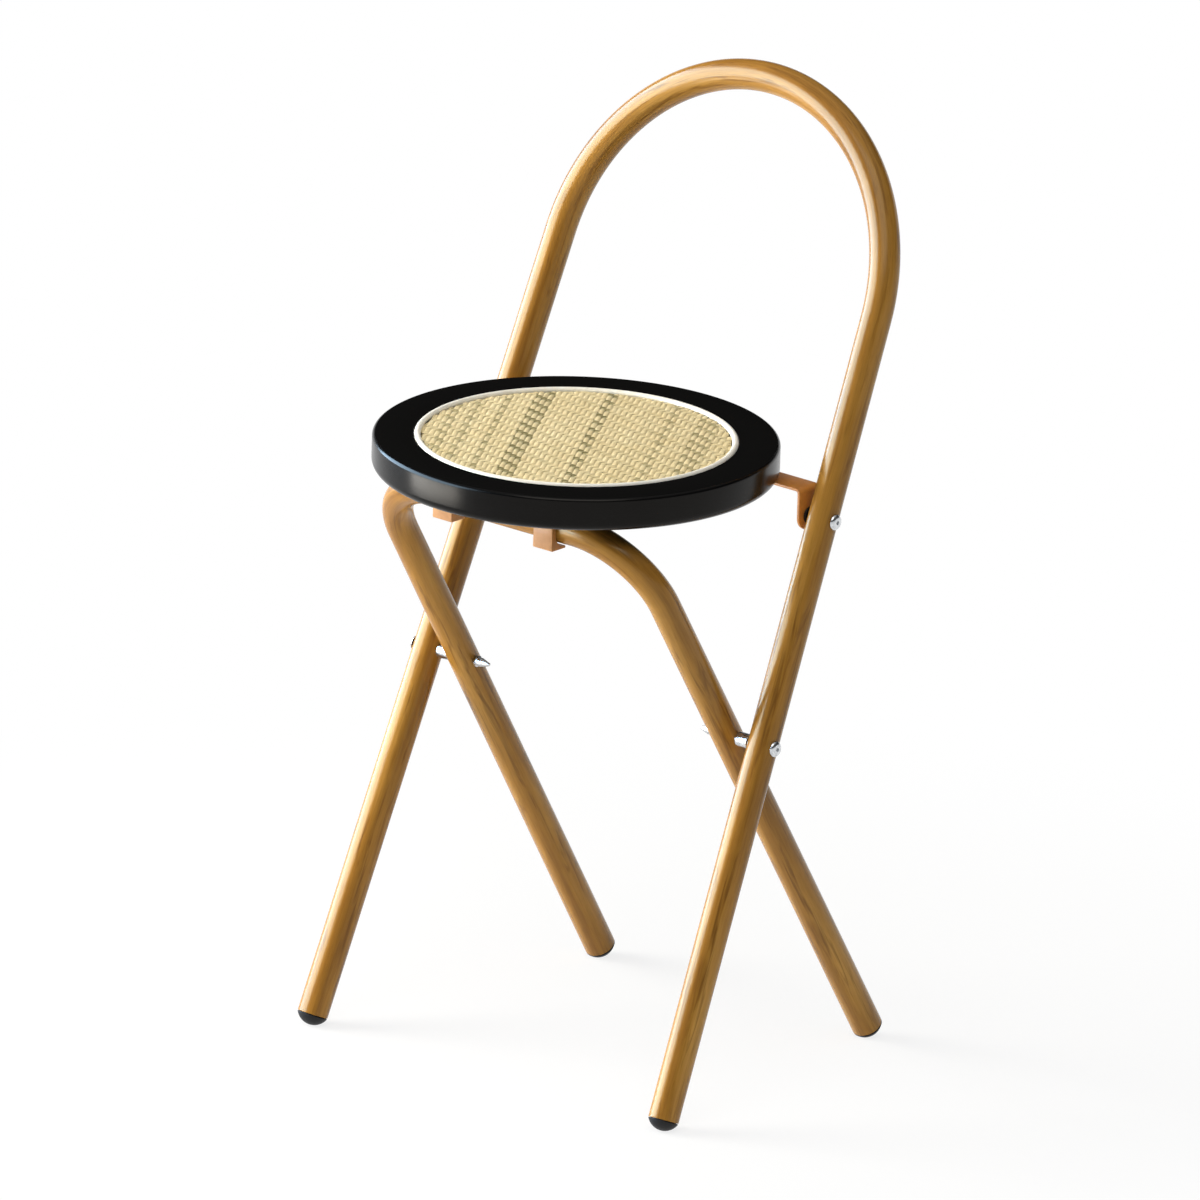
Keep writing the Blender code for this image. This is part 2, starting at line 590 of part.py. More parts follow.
def main():
    clear_scene()
    looks = {
        "wood_film": finish("wood_film", (0.30, 0.15, 0.045), 0.35),
        "brown_paint": finish("brown_paint", (0.36, 0.16, 0.04), 0.4),
        "black_lacquer": finish("black_lacquer", (0.006, 0.006, 0.006), 0.15),
        "cream_piping": finish("cream_piping", (0.85, 0.80, 0.68), 0.6),
        "woven_cord": finish("woven_cord", (0.72, 0.56, 0.30), 0.8),
        "black_plastic": finish("black_plastic", (0.012, 0.012, 0.012), 0.5),
        "zinc": finish("zinc", (0.75, 0.76, 0.78), 0.25, 1.0),
    }
    places = {
        "back": (0, 0, 0),
        "front": (0, CROSS_Y, CROSS_Z),
        "seat": (0, HINGE_Y, HINGE_Z),
    }
    stool = add_empty("stool", (0, -OUTLINE_MIDDLE, 0))
    parents = {}
    for word, place in places.items():
        parents[word] = add_empty(word + "_pivot", place, stool)
        parents[word]["place"] = place
    frames = {
        "back": make_back_frame(parents["back"], looks["wood_film"]),
        "front": make_front_frame(parents["front"], looks["wood_film"]),
    }
    board = make_board(parents["seat"], looks["black_lacquer"])
    make_ring(parents["seat"], looks["cream_piping"])
    make_weave(parents["seat"], looks["woven_cord"])
    tube_x = back_half(HINGE_Z / math.cos(BACK_LEAN))
    tab_x = tube_x - BACK_TUBE_HALF - HINGE_GAP
    bracket = make_bracket(parents["seat"], looks["brown_paint"], tab_x)
    screw_z = PLATE_TOP - BRACKET_THICKNESS
    reaches = (-BRACKET_SCREW_OUTER, -BRACKET_SCREW_INNER, BRACKET_SCREW_INNER, BRACKET_SCREW_OUTER)
    for number, x in enumerate(reaches, 1):
        name = "bracket_screw_" + str(number)
        make_screw(name, parents["seat"], looks["zinc"], board, bracket, (x, HINGE_Y, screw_z))
    for side, word in ((1, "left"), (-1, "right")):
        x = side * HOOK_SPACING / 2
        hook = make_hook("hook_" + word, parents["seat"], looks["brown_paint"], x)
        for number in range(2):
            y = BAR_Y + TUBE_RADIUS + HOOK_SCREW_FIRST + number * HOOK_SCREW_PITCH
            name = "hook_screw_" + word + "_" + str(number + 1)
            make_screw(name, parents["seat"], looks["zinc"], board, hook, (x, y, PLATE_TOP - HOOK_PLATE))
        make_crossing(parents, frames, looks, side, word)
        make_hinge(parents, frames, bracket, looks, side, word, tube_x, tab_x)
        make_foot(
            "foot_front_" + word, parents["back"], looks["black_plastic"],
            BACK_FLOOR, BACK_UP, BACK_LEAN, BACK_SPLAY, back_half, side,
        )
        make_foot(
            "foot_rear_" + word, parents["front"], looks["black_plastic"],
            FRONT_FLOOR, FRONT_UP, FRONT_LEAN, FRONT_SPLAY, front_half, side,
        )


main()
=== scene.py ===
import json
import math

import bmesh
import bpy
import numpy as np
from mathutils import Matrix, Vector


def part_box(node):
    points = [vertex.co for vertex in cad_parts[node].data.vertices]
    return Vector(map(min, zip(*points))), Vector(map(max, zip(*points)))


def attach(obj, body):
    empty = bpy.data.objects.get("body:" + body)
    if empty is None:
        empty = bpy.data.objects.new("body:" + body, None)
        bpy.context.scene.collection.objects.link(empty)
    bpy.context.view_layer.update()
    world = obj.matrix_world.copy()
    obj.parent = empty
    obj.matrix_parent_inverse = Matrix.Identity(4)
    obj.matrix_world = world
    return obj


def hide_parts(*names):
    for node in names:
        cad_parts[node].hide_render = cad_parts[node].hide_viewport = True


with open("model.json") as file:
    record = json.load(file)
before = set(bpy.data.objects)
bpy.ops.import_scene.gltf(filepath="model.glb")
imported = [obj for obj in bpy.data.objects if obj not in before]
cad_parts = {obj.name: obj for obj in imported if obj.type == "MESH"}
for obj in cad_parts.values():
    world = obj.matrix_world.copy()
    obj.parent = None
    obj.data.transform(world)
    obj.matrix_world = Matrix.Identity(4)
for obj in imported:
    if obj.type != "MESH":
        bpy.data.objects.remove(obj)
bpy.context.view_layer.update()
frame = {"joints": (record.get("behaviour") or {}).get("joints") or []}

# Metres, +Z up, the sitter faces -Y. left is +X.
jointAt = {joint["name"]: np.array(joint["pos_m"]) for joint in frame["joints"]}
crossAt = jointAt["fold"]  # axis of the two bolts where the frames cross
hingeAt = jointAt["seat_lift"]  # axis of the two bolts that carry the seat
seatLow, seatHigh = (np.array(corner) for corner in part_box("seat_board"))
seatAt = (seatLow + seatHigh) / 2
sides = {"left": 1, "right": -1}


# Shapes: every piece is a grid of points, rows along it and columns round it

meshing = {"weld": 1e-7, "sharp": 40}  # nearer points are joined; edges past sharp degrees stay sharp


def gridFaces(rows, columns):  # quads between neighbouring rows, closed round the columns
    row, column = np.meshgrid(np.arange(rows - 1), np.arange(columns), indexing="ij")
    here = row * columns + column
    beside = row * columns + (column + 1) % columns
    return np.stack([here, beside, beside + columns, here + columns], -1).reshape(-1, 4)


def outwards(points, faces):  # turns the faces round if the volume under them, as tetrahedra, is negative
    a, b, c, d = (points[faces[:, i]] for i in range(4))
    volume = np.einsum("ij,ij->", a, np.cross(b, c)) + np.einsum("ij,ij->", a, np.cross(c, d))
    return faces if volume > 0 else faces[:, ::-1]


def addPiece(name, grids, finish, body, nodes, marks=None, sharp=meshing["sharp"]):
    # grids: one or more arrays of rows x columns x 3. marks: attribute name to an array with a row per point
    points = np.concatenate([grid.reshape(-1, 3) for grid in grids])
    firsts = np.cumsum([0] + [grid.shape[0] * grid.shape[1] for grid in grids])
    faces = np.concatenate([first + outwards(grid.reshape(-1, 3), gridFaces(*grid.shape[:2]))
                            for first, grid in zip(firsts, grids)])
    mesh = bpy.data.meshes.new(name)
    mesh.from_pydata(points.tolist(), [], faces.tolist())
    for mark, values in (marks or {}).items():
        kind, field = ("FLOAT_VECTOR", "vector") if values.ndim == 2 else ("FLOAT", "value")
        mesh.attributes.new(mark, kind, "POINT").data.foreach_set(field, values.astype(np.float32).ravel())
    shape = bmesh.new()
    shape.from_mesh(mesh)
    bmesh.ops.remove_doubles(shape, verts=shape.verts, dist=meshing["weld"])  # closes the poles
    shape.to_mesh(mesh)
    shape.free()
    mesh.shade_smooth()
    mesh.set_sharp_from_angle(angle=math.radians(sharp))
    mesh.materials.append(finish)
    piece = bpy.data.objects.new(name, mesh)
    bpy.context.scene.collection.objects.link(piece)
    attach(piece, body)
    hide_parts(*nodes)
    return piece


def spokes(columns):  # even angles round a full turn
    return 2 * math.pi * np.arange(columns) / columns


def circle(angle):  # (cos, sin) of each angle
    return np.stack([np.cos(angle), np.sin(angle)], -1)


def unit(rows):  # each row over its own length
    return rows / np.linalg.norm(rows, axis=1)[:, None]


def arcPoints(centre, radius, start, end, count):  # count points on an arc, angles in degrees
    return np.asarray(centre) + radius * circle(np.radians(np.linspace(start, end, count)))


def turned(profile, columns, flats=None):
    # radius x (cos a, sin a) and height, for each point of the profile.
    # flats: rows whose outline is a hexagon, as row number to the distance across its flats
    profile = np.asarray(profile, float)
    angle = spokes(columns)
    radius = np.repeat(profile[:, :1], columns, 1)
    for row, across in (flats or {}).items():  # a hexagon: half its flats over the cosine to the nearest flat
        radius[row] = across / 2 / np.cos((angle % (math.pi / 3)) - math.pi / 6)
    return np.stack([radius * np.cos(angle), radius * np.sin(angle),
                     np.repeat(profile[:, 1:], columns, 1)], -1)


def placed(grid, at, axis):  # turns a shape's own Z onto axis and moves it
    turn = np.array(Vector(axis).to_track_quat("Z", "Y").to_matrix())
    return grid @ turn.T + np.asarray(at)


def carried(path, level, side, section):
    # from each path point, section's (a, b) points: a along level and b along side. section may differ by row
    return path[:, None] + section[..., :1] * level[:, None] + section[..., 1:] * side[:, None]


# Finishes. In their dictionaries a Noise is a noise texture's settings, Steps are places on a ramp, a Bump is
# a distance and a strength, and plain is the roughness where no texture drives it

white, black = (1, 1, 1, 1), (0, 0, 0, 1)


def paint(red, green, blue):  # a colour as it looks on screen, 0 to 255, as the shader wants it
    value = np.array([red, green, blue]) / 255
    linear = np.where(value <= 0.04045, value / 12.92, ((value + 0.055) / 1.055) ** 2.4)
    return (*linear.tolist(), 1.0)


def newFinish(name, colour, roughness, **sockets):
    finish = bpy.data.materials.new(name)
    finish.use_nodes = True
    shader = finish.node_tree.nodes["Principled BSDF"]
    shader.inputs["Base Color"].default_value = colour
    shader.inputs["Roughness"].default_value = roughness
    for socket, value in sockets.items():
        shader.inputs[socket.replace("_", " ")].default_value = value
    return finish, finish.node_tree, shader


def setInput(tree, socket, value):  # links another node's output, or sets a plain value
    if isinstance(value, bpy.types.NodeSocket):
        tree.links.new(value, socket)
    else:
        socket.default_value = value


def addNode(tree, kind, inputs=None, **settings):
    node = tree.nodes.new(kind)
    for key, value in settings.items():
        setattr(node, key, value)
    for key, value in (inputs or {}).items():
        setInput(tree, node.inputs[key], value)
    return node


def noise(tree, place, scale, detail=3.0, roughness=0.5, distortion=0.0, stretch=None):
    if stretch:  # the place is scaled along its own axes first
        place = addNode(tree, "ShaderNodeMapping", {"Vector": place, "Scale": stretch}).outputs["Vector"]
    inputs = {"Vector": place, "Scale": scale, "Detail": detail,
              "Roughness": roughness, "Distortion": distortion}
    return addNode(tree, "ShaderNodeTexNoise", inputs).outputs["Fac"]


def ramp(tree, value, steps, colours):
    node = addNode(tree, "ShaderNodeValToRGB", {"Fac": value})
    spots = node.color_ramp.elements
    while len(spots) < len(colours):
        spots.new(0.5)
    for spot, step, colour in zip(spots, steps, colours):
        spot.position = step
        spot.color = colour
    return node.outputs["Color"]


def mixed(tree, share, first, second, kind="MIX"):
    node = addNode(tree, "ShaderNodeMix", data_type="RGBA", blend_type=kind)
    for number, value in zip((0, 6, 7), (share, first, second)):  # a colour mix's sockets: factor, A and B
        setInput(tree, node.inputs[number], value)
    return node.outputs[2]


def remapped(tree, value, low, high, span=(0.0, 1.0), kind="LINEAR"):  # span becomes low to high
    inputs = {"Value": value, "From Min": span[0], "From Max": span[1], "To Min": low, "To Max": high}
    return addNode(tree, "ShaderNodeMapRange", inputs, interpolation_type=kind).outputs["Result"]


def maths(tree, operation, first, second):
    return addNode(tree, "ShaderNodeMath", {0: first, 1: second}, operation=operation).outputs[0]


def bumped(tree, shader, height, distance, strength):
    bump = addNode(tree, "ShaderNodeBump", {"Height": height, "Distance": distance, "Strength": strength})
    tree.links.new(bump.outputs["Normal"], shader.inputs["Normal"])


def objectPlace(tree):
    return addNode(tree, "ShaderNodeTexCoord").outputs["Object"]


def attribute(tree, name, output="Vector"):
    return addNode(tree, "ShaderNodeAttribute", attribute_name=name).outputs[output]


woodFilm = {
    "light": paint(187, 140, 66), "middle": paint(169, 121, 51), "dark": paint(146, 101, 41),
    "flame": paint(108, 70, 28), "tint": (1.0, 0.92, 0.66, 1), "gloss": 0.34,
    "plain": 0.2, "roughness": (0.18, 0.26),
    "cloudNoise": {"scale": 62, "stretch": (1, 1, 0.09)}, "cloudSteps": (0.32, 0.5, 0.68),
    "streakNoise": {"scale": 330, "detail": 4, "roughness": 0.6, "distortion": 0.3, "stretch": (1, 1, 0.035)},
    "streakSteps": (0.32, 0.5, 0.7), "streakShare": 0.8,
    "streakTones": [(0.82, 0.79, 0.74, 1), white, (1.07, 1.07, 1.05, 1)],
    "flameNoise": {"scale": 190, "roughness": 0.55, "distortion": 0.8, "stretch": (1, 1, 0.07)},
    "flameSteps": (0.30, 0.37, 0.45), "flameShares": [(0.75, 0.75, 0.75, 1), (0.4, 0.4, 0.4, 1), black],
    "poreNoise": {"scale": 1500, "detail": 2, "stretch": (1, 1, 0.05)},
    "poreSteps": (0.36, 0.46), "poreShare": 0.3, "poreTones": [(0.7, 0.65, 0.6, 1), white],
    "poreBump": (0.00001, 0.4),
}


def makeWoodFilm(look):
    # cloud: slow changes of tone. streak: noise drawn out along the tube. flame: longer dashes, dark where
    # that noise is low. pore: fine dark flecks
    finish, tree, shader = newFinish("woodFilm", look["middle"], look["plain"],
                                     Specular_Tint=look["tint"], Specular_IOR_Level=look["gloss"])
    place = attribute(tree, "straight")
    cloud = noise(tree, place, **look["cloudNoise"])
    streak = noise(tree, place, **look["streakNoise"])
    flame = noise(tree, place, **look["flameNoise"])
    pore = noise(tree, place, **look["poreNoise"])
    ground = ramp(tree, cloud, look["cloudSteps"], [look["dark"], look["middle"], look["light"]])
    streaks = ramp(tree, streak, look["streakSteps"], look["streakTones"])
    ground = mixed(tree, look["streakShare"], ground, streaks, "MULTIPLY")
    dashes = ramp(tree, flame, look["flameSteps"], look["flameShares"])
    ground = mixed(tree, dashes, ground, look["flame"])
    flecks = ramp(tree, pore, look["poreSteps"], look["poreTones"])
    ground = mixed(tree, look["poreShare"], ground, flecks, "MULTIPLY")
    tree.links.new(ground, shader.inputs["Base Color"])
    tree.links.new(remapped(tree, streak, *look["roughness"]), shader.inputs["Roughness"])
    bumped(tree, shader, pore, *look["poreBump"])
    return finish


strapPaint = {"colour": paint(212, 140, 62), "worn": paint(192, 122, 52), "plain": 0.38, "gloss": 0.5}
# the hooks: a peachier, less saturated copy of the strap paint, a painted highlight for their brightly lit
# front faces
hookPaint = {"colour": paint(196, 140, 80), "worn": paint(178, 122, 66), "plain": 0.34, "gloss": 0.25}
paintSkin = {  # what both paints share
    "coat": 0.1, "roughness": (0.3, 0.46),
    "cloudNoise": {"scale": 90, "detail": 4, "roughness": 0.6}, "cloudSteps": (0.3, 0.65),
    "peelNoise": {"scale": 1400, "detail": 2}, "peelBump": (0.00006, 0.6),
}


def makeStrapPaint(name, look, skin):  # plain paint: faint cloudiness and an orange-peel skin
    finish, tree, shader = newFinish(name, look["colour"], look["plain"],
                                     Coat_Weight=skin["coat"], Specular_IOR_Level=look["gloss"])
    place = objectPlace(tree)
    cloud = noise(tree, place, **skin["cloudNoise"])
    ground = ramp(tree, cloud, skin["cloudSteps"], [look["worn"], look["colour"]])
    tree.links.new(ground, shader.inputs["Base Color"])
    tree.links.new(remapped(tree, cloud, *skin["roughness"]), shader.inputs["Roughness"])
    bumped(tree, shader, noise(tree, place, **skin["peelNoise"]), *skin["peelBump"])
    return finish


lacquer = {
    # top: the top face's black, painted lighter than the rim as painted sheen in place of its gloss
    # reflection
    "colour": paint(5, 5, 6), "haze": paint(10, 10, 11), "top": paint(17, 17, 17), "tint": (1, 0.95, 0.87, 1),
    "gloss": (0.15, 0.0),  # on the rim and underside, on the top face
    "plain": 0.14, "roughness": (0.16, 0.27), "topRoughness": (0.28, 0.40),
    "hazeNoise": {"scale": 26, "detail": 5, "roughness": 0.62}, "hazeSteps": (0.35, 0.8),
    "rubNoise": {"scale": 520, "roughness": 0.6, "stretch": (1, 0.16, 1)},
    "rippleNoise": {"scale": 230, "detail": 2}, "rippleBump": (0.00003, 0.5),
}


def makeLacquer(look):  # gloss black: a faint haze, fine rubbing marks in its gloss, and a dull top face
    finish, tree, shader = newFinish("blackLacquer", look["colour"], look["plain"],
                                     Specular_Tint=look["tint"])
    place = objectPlace(tree)
    haze = noise(tree, place, **look["hazeNoise"])
    ground = ramp(tree, haze, look["hazeSteps"], [look["colour"], look["haze"]])
    rubbed = noise(tree, place, **look["rubNoise"])
    onTop = attribute(tree, "topFace", "Fac")
    # the top face takes the lighter top colour, a painted sheen, while its own gloss is turned off below
    tree.links.new(mixed(tree, onTop, ground, look["top"]), shader.inputs["Base Color"])
    gloss = mixed(tree, onTop, remapped(tree, rubbed, *look["roughness"]),
                  remapped(tree, rubbed, *look["topRoughness"]))
    tree.links.new(gloss, shader.inputs["Roughness"])
    tree.links.new(remapped(tree, onTop, *look["gloss"]), shader.inputs["Specular IOR Level"])
    bumped(tree, shader, noise(tree, place, **look["rippleNoise"]), *look["rippleBump"])
    return finish


piping = {
    "colour": paint(254, 252, 241), "shade": paint(247, 242, 226), "roughness": 0.55, "sheen": 0.4,
    "mottleNoise": {"scale": 160, "detail": 4}, "mottleSteps": (0.3, 0.6),
    "ribNoise": {"scale": 2600, "detail": 2}, "ribBump": (0.0001, 0.5),
}


def makePiping(look):  # coated cloth: soft mottling and a fine ribbed skin
    finish, tree, shader = newFinish("creamPiping", look["colour"], look["roughness"],
                                     Sheen_Weight=look["sheen"])
    place = objectPlace(tree)
    mottle = noise(tree, place, **look["mottleNoise"])
    ground = ramp(tree, mottle, look["mottleSteps"], [look["shade"], look["colour"]])
    tree.links.new(ground, shader.inputs["Base Color"])
    bumped(tree, shader, noise(tree, place, **look["ribNoise"]), *look["ribBump"])
    return finish


yarn = {
    "pale": paint(248, 232, 186), "straw": paint(240, 220, 168), "husk": paint(218, 194, 136),
    "olive": paint(126, 118, 66), "roughness": 0.72, "sheen": 0.15, "gloss": 0.12,
    "slubNoise": {"scale": 210, "stretch": (0.6, 1, 0.5)}, "slubSteps": (0.25, 0.48, 0.7),
    "patchNoise": {"scale": 34}, "patchSteps": (0.35, 0.65), "patchShare": 0.5,
    "fibreNoise": {"scale": 5200, "detail": 2, "stretch": (1, 1, 0.12)},
    "fibreSteps": (0.35, 0.6), "fibreTones": [(0.72, 0.68, 0.6, 1), white], "fibreShare": 0.5,
    "fibreBump": (0.0002, 0.7),
    # painted shade: the yarn colour is multiplied darker the deeper it lies in the weave's holes
    "holeSteps": (0.35, 0.7, 1.0), "holeTones": [white, (0.88, 0.85, 0.72, 1), (0.54, 0.49, 0.32, 1)],
}


def makeYarn(look):
    # tone: 0 pale to 1 olive. depth: 0 on top of the weave to 1 in its holes, where the yarn is darkened as
    # painted shade.
    # lay: (round, 0, along) in metres, for fibres that wind along the yarn
    finish, tree, shader = newFinish("wovenYarn", look["straw"], look["roughness"],
                                     Sheen_Weight=look["sheen"], Specular_IOR_Level=look["gloss"])
    lay = attribute(tree, "lay")
    fibre = noise(tree, lay, **look["fibreNoise"])
    slub = noise(tree, lay, **look["slubNoise"])
    patch = noise(tree, objectPlace(tree), **look["patchNoise"])
    body = ramp(tree, slub, look["slubSteps"], [look["husk"], look["straw"], look["pale"]])
    patches = ramp(tree, patch, look["patchSteps"], [look["straw"], look["pale"]])
    body = mixed(tree, look["patchShare"], body, patches)
    body = mixed(tree, attribute(tree, "tone", "Fac"), body, look["olive"])
    fibres = ramp(tree, fibre, look["fibreSteps"], look["fibreTones"])
    body = mixed(tree, look["fibreShare"], body, fibres, "MULTIPLY")
    # painted shade in the weave's holes, darker with depth
    paintedShade = ramp(tree, attribute(tree, "depth", "Fac"), look["holeSteps"], look["holeTones"])
    tree.links.new(mixed(tree, 1.0, body, paintedShade, "MULTIPLY"), shader.inputs["Base Color"])
    bumped(tree, shader, fibre, *look["fibreBump"])
    return finish


backing = {
    "colour": paint(92, 78, 42), "thread": paint(128, 112, 66), "roughness": 0.9, "sheen": 0.1,
    "pitch": 0.0011, "waver": 1.0, "threadSteps": (0.3, 0.9), "threadBump": (0.0002, 1.0),
    "thickness": 0.0003, "rings": 12, "columns": 96,
}
waveLength = 0.314  # of a wave texture at a scale of 1


def makeBacking(look):  # coarse cloth: two crossed sine bands for its threads
    finish, tree, shader = newFinish("backingCloth", look["colour"], look["roughness"],
                                     Sheen_Weight=look["sheen"])
    inputs = {"Vector": objectPlace(tree), "Scale": waveLength / look["pitch"], "Distortion": look["waver"]}
    threads = [addNode(tree, "ShaderNodeTexWave", inputs, bands_direction=way).outputs["Fac"]
               for way in ("X", "Y")]
    cross = maths(tree, "MAXIMUM", *threads)
    ground = ramp(tree, cross, look["threadSteps"], [look["colour"], look["thread"]])
    tree.links.new(ground, shader.inputs["Base Color"])
    bumped(tree, shader, cross, *look["threadBump"])
    return finish


zinc = {
    "colour": paint(222, 224, 226), "dull": paint(176, 180, 184),
    "plain": 0.24, "roughness": (0.16, 0.34),
    "cloudNoise": {"scale": 420, "detail": 4, "roughness": 0.6}, "cloudSteps": (0.25, 0.6),
    "turningNoise": {"scale": 900, "detail": 2, "stretch": (6, 1, 1)},
    "turningBump": (0.00003, 0.4),
}


def makeZinc(look):  # bright plate: cloudy gloss and fine turning marks
    finish, tree, shader = newFinish("brightZinc", look["colour"], look["plain"], Metallic=1.0)
    place = objectPlace(tree)
    cloud = noise(tree, place, **look["cloudNoise"])
    ground = ramp(tree, cloud, look["cloudSteps"], [look["dull"], look["colour"]])
    tree.links.new(ground, shader.inputs["Base Color"])
    tree.links.new(remapped(tree, cloud, *look["roughness"]), shader.inputs["Roughness"])
    bumped(tree, shader, noise(tree, place, **look["turningNoise"]), *look["turningBump"])
    return finish


plugPlastic = {
    "colour": paint(10, 10, 11), "scuff": paint(36, 35, 34), "gloss": 0.3,
    "plain": 0.45, "roughness": (0.40, 0.62),
    "wearNoise": {"scale": 260, "detail": 5, "roughness": 0.65}, "wearSteps": (0.5, 0.75),
    "scuffHeights": (0.004, 0.0), "scuffShare": (0.15, 0.9),  # at each of these heights
    "grainNoise": {"scale": 2400, "detail": 2}, "grainBump": (0.00005, 0.5),
}


def makePlugPlastic(look):  # moulded plastic: spark-eroded grain, greyer where it has rubbed on floors
    finish, tree, shader = newFinish("blackPlastic", look["colour"], look["plain"],
                                     Specular_IOR_Level=look["gloss"])
    place = objectPlace(tree)
    wear = noise(tree, place, **look["wearNoise"])
    height = addNode(tree, "ShaderNodeSeparateXYZ", {"Vector": place}).outputs["Z"]
    nearFloor = remapped(tree, height, *look["scuffShare"], look["scuffHeights"])
    scuffed = mixed(tree, nearFloor, black, ramp(tree, wear, look["wearSteps"], [black, white]))
    tree.links.new(mixed(tree, scuffed, look["colour"], look["scuff"]), shader.inputs["Base Color"])
    tree.links.new(remapped(tree, wear, *look["roughness"]), shader.inputs["Roughness"])
    bumped(tree, shader, noise(tree, place, **look["grainNoise"]), *look["grainBump"])
    return finish


woodFinish = makeWoodFilm(woodFilm)
strapFinish = makeStrapPaint("strapPaint", strapPaint, paintSkin)
# the hooks' paint carries a painted highlight
hookHighlightFinish = makeStrapPaint("hookPaint", hookPaint, paintSkin)
lacquerFinish = makeLacquer(lacquer)
pipingFinish = makePiping(piping)
yarnFinish = makeYarn(yarn)
backingFinish = makeBacking(backing)
zincFinish = makeZinc(zinc)
plasticFinish = makePlugPlastic(plugPlastic)
print("finishes made:", len(bpy.data.materials))


# Tube frames

tube = {"radius": 0.0125, "edge": 0.0004, "columns": 48, "legRows": 24, "bendRows": 48, "barRows": 8}
frontTube = {"lean": -32.5, "splay": 0.4, "halfAtCross": 0.1395, "bend": 0.066, "top": 0.4744}
backTube = {"lean": 22.6, "splay": 1.7, "halfAtCross": 0.177, "bend": None, "top": 0.7675}
plug = {
    "dome": 0.0083, "flat": 0.0004, "gap": 0.0003, "shank": 0.0107, "shankLength": 0.012,
    "edge": 0.0006, "inset": 0.0001, "edgeTurn": 3,  # the rounded rim, which takes the dome's last degrees
    "rows": 20, "columns": 48,
}


def tubePlane(spec):  # unit vector up the leaning plane, where it meets the floor, the slope of the crossing
    lean = math.radians(spec["lean"])
    up = np.array([0, math.sin(lean), math.cos(lean)])
    crossSlope = crossAt[2] / math.cos(lean)
    return up, crossAt - up * crossSlope, crossSlope


def legHalf(spec, slope):  # half the width between the legs, which close in by the splay as they rise
    return spec["halfAtCross"] - (slope - tubePlane(spec)[2]) * math.tan(math.radians(spec["splay"]))


def legEnd(spec):  # slopes of the middle of the plug's dome and of the tube's end, and the dome's radius
    lean, splay = math.radians(spec["lean"]), math.radians(spec["splay"])
    domeRadius = (tube["radius"] ** 2 + plug["dome"] ** 2) / (2 * plug["dome"])
    domeSlope = (domeRadius - plug["flat"]) / math.cos(lean)
    return domeSlope, domeSlope - (domeRadius - plug["dome"] - plug["gap"]) * math.cos(splay), domeRadius


def loopPath(spec):
    # half the loop in the (across, slope) plane: up the leg, round the bend, along the bar to the middle.
    # The other half is its mirror image. Each point has its tangent
    splay = math.radians(spec["splay"])
    topSlope = spec["top"] / math.cos(math.radians(spec["lean"]))
    if spec["bend"]:
        bend = spec["bend"]
        middle = (legHalf(spec, topSlope - bend) - bend / math.cos(splay), topSlope - bend)
    else:  # a hoop that is tangent to both legs
        bend = legHalf(spec, topSlope) * math.cos(splay) / (1 - math.sin(splay))
        middle = (0.0, topSlope - bend)
    turn = np.linspace(splay, math.pi / 2, tube["bendRows"])
    bendAt = np.array(middle) + bend * circle(turn)
    bendAlong = np.stack([-np.sin(turn), np.cos(turn)], -1)
    slope = np.linspace(legEnd(spec)[1], bendAt[0, 1], tube["legRows"], endpoint=False)
    legAt = np.stack([legHalf(spec, slope), slope], -1)
    legAlong = np.repeat(bendAlong[:1], len(slope), 0)
    points, along = np.concatenate([legAt, bendAt]), np.concatenate([legAlong, bendAlong])
    if middle[0] > 0:
        rows = tube["barRows"]
        bar = np.stack([np.linspace(middle[0], 0, rows + 1)[1:], np.full(rows, topSlope)], -1)
        points = np.concatenate([points, bar])
        along = np.concatenate([along, np.repeat(bendAlong[-1:], rows, 0)])
    flip = np.array([-1, 1])
    points = np.concatenate([points, (points * flip)[-2::-1]])
    return points, np.concatenate([along, -(along * flip)[-2::-1]])


def makeTube(name, spec, body, node):
    # a circle carried along the loop. straight: the same circle along a straight tube, for the grain
    up, floorAt, _ = tubePlane(spec)
    flat, flatAlong = loopPath(spec)
    across = np.array([1.0, 0, 0])
    path = floorAt + flat[:, :1] * across + flat[:, 1:] * up
    along = flatAlong[:, :1] * across + flatAlong[:, 1:] * up
    run = np.concatenate([[0], np.cumsum(np.linalg.norm(np.diff(path, axis=0), axis=1))])
    rows = np.r_[0, 0, 0:len(path), len(path) - 1, len(path) - 1]
    size = np.full(len(rows), tube["radius"])
    size[[0, -1]] = 0  # a flat end behind the plug
    size[[1, -2]] -= tube["edge"]  # with a softened edge
    ends = np.zeros(len(rows))
    ends[2], ends[-3] = tube["edge"], -tube["edge"]
    section = size[:, None, None] * circle(spokes(tube["columns"]))[None]
    level = np.broadcast_to(np.cross(across, up), (len(rows), 3))
    grid = carried(path[rows] + along[rows] * ends[:, None], level, np.cross(along[rows], level), section)
    lengths = np.broadcast_to((run[rows] + ends)[:, None, None], section.shape[:2] + (1,))
    straight = np.concatenate([section, lengths], -1).reshape(-1, 3)
    addPiece(name, [grid], woodFinish, body, [node], {"straight": straight})


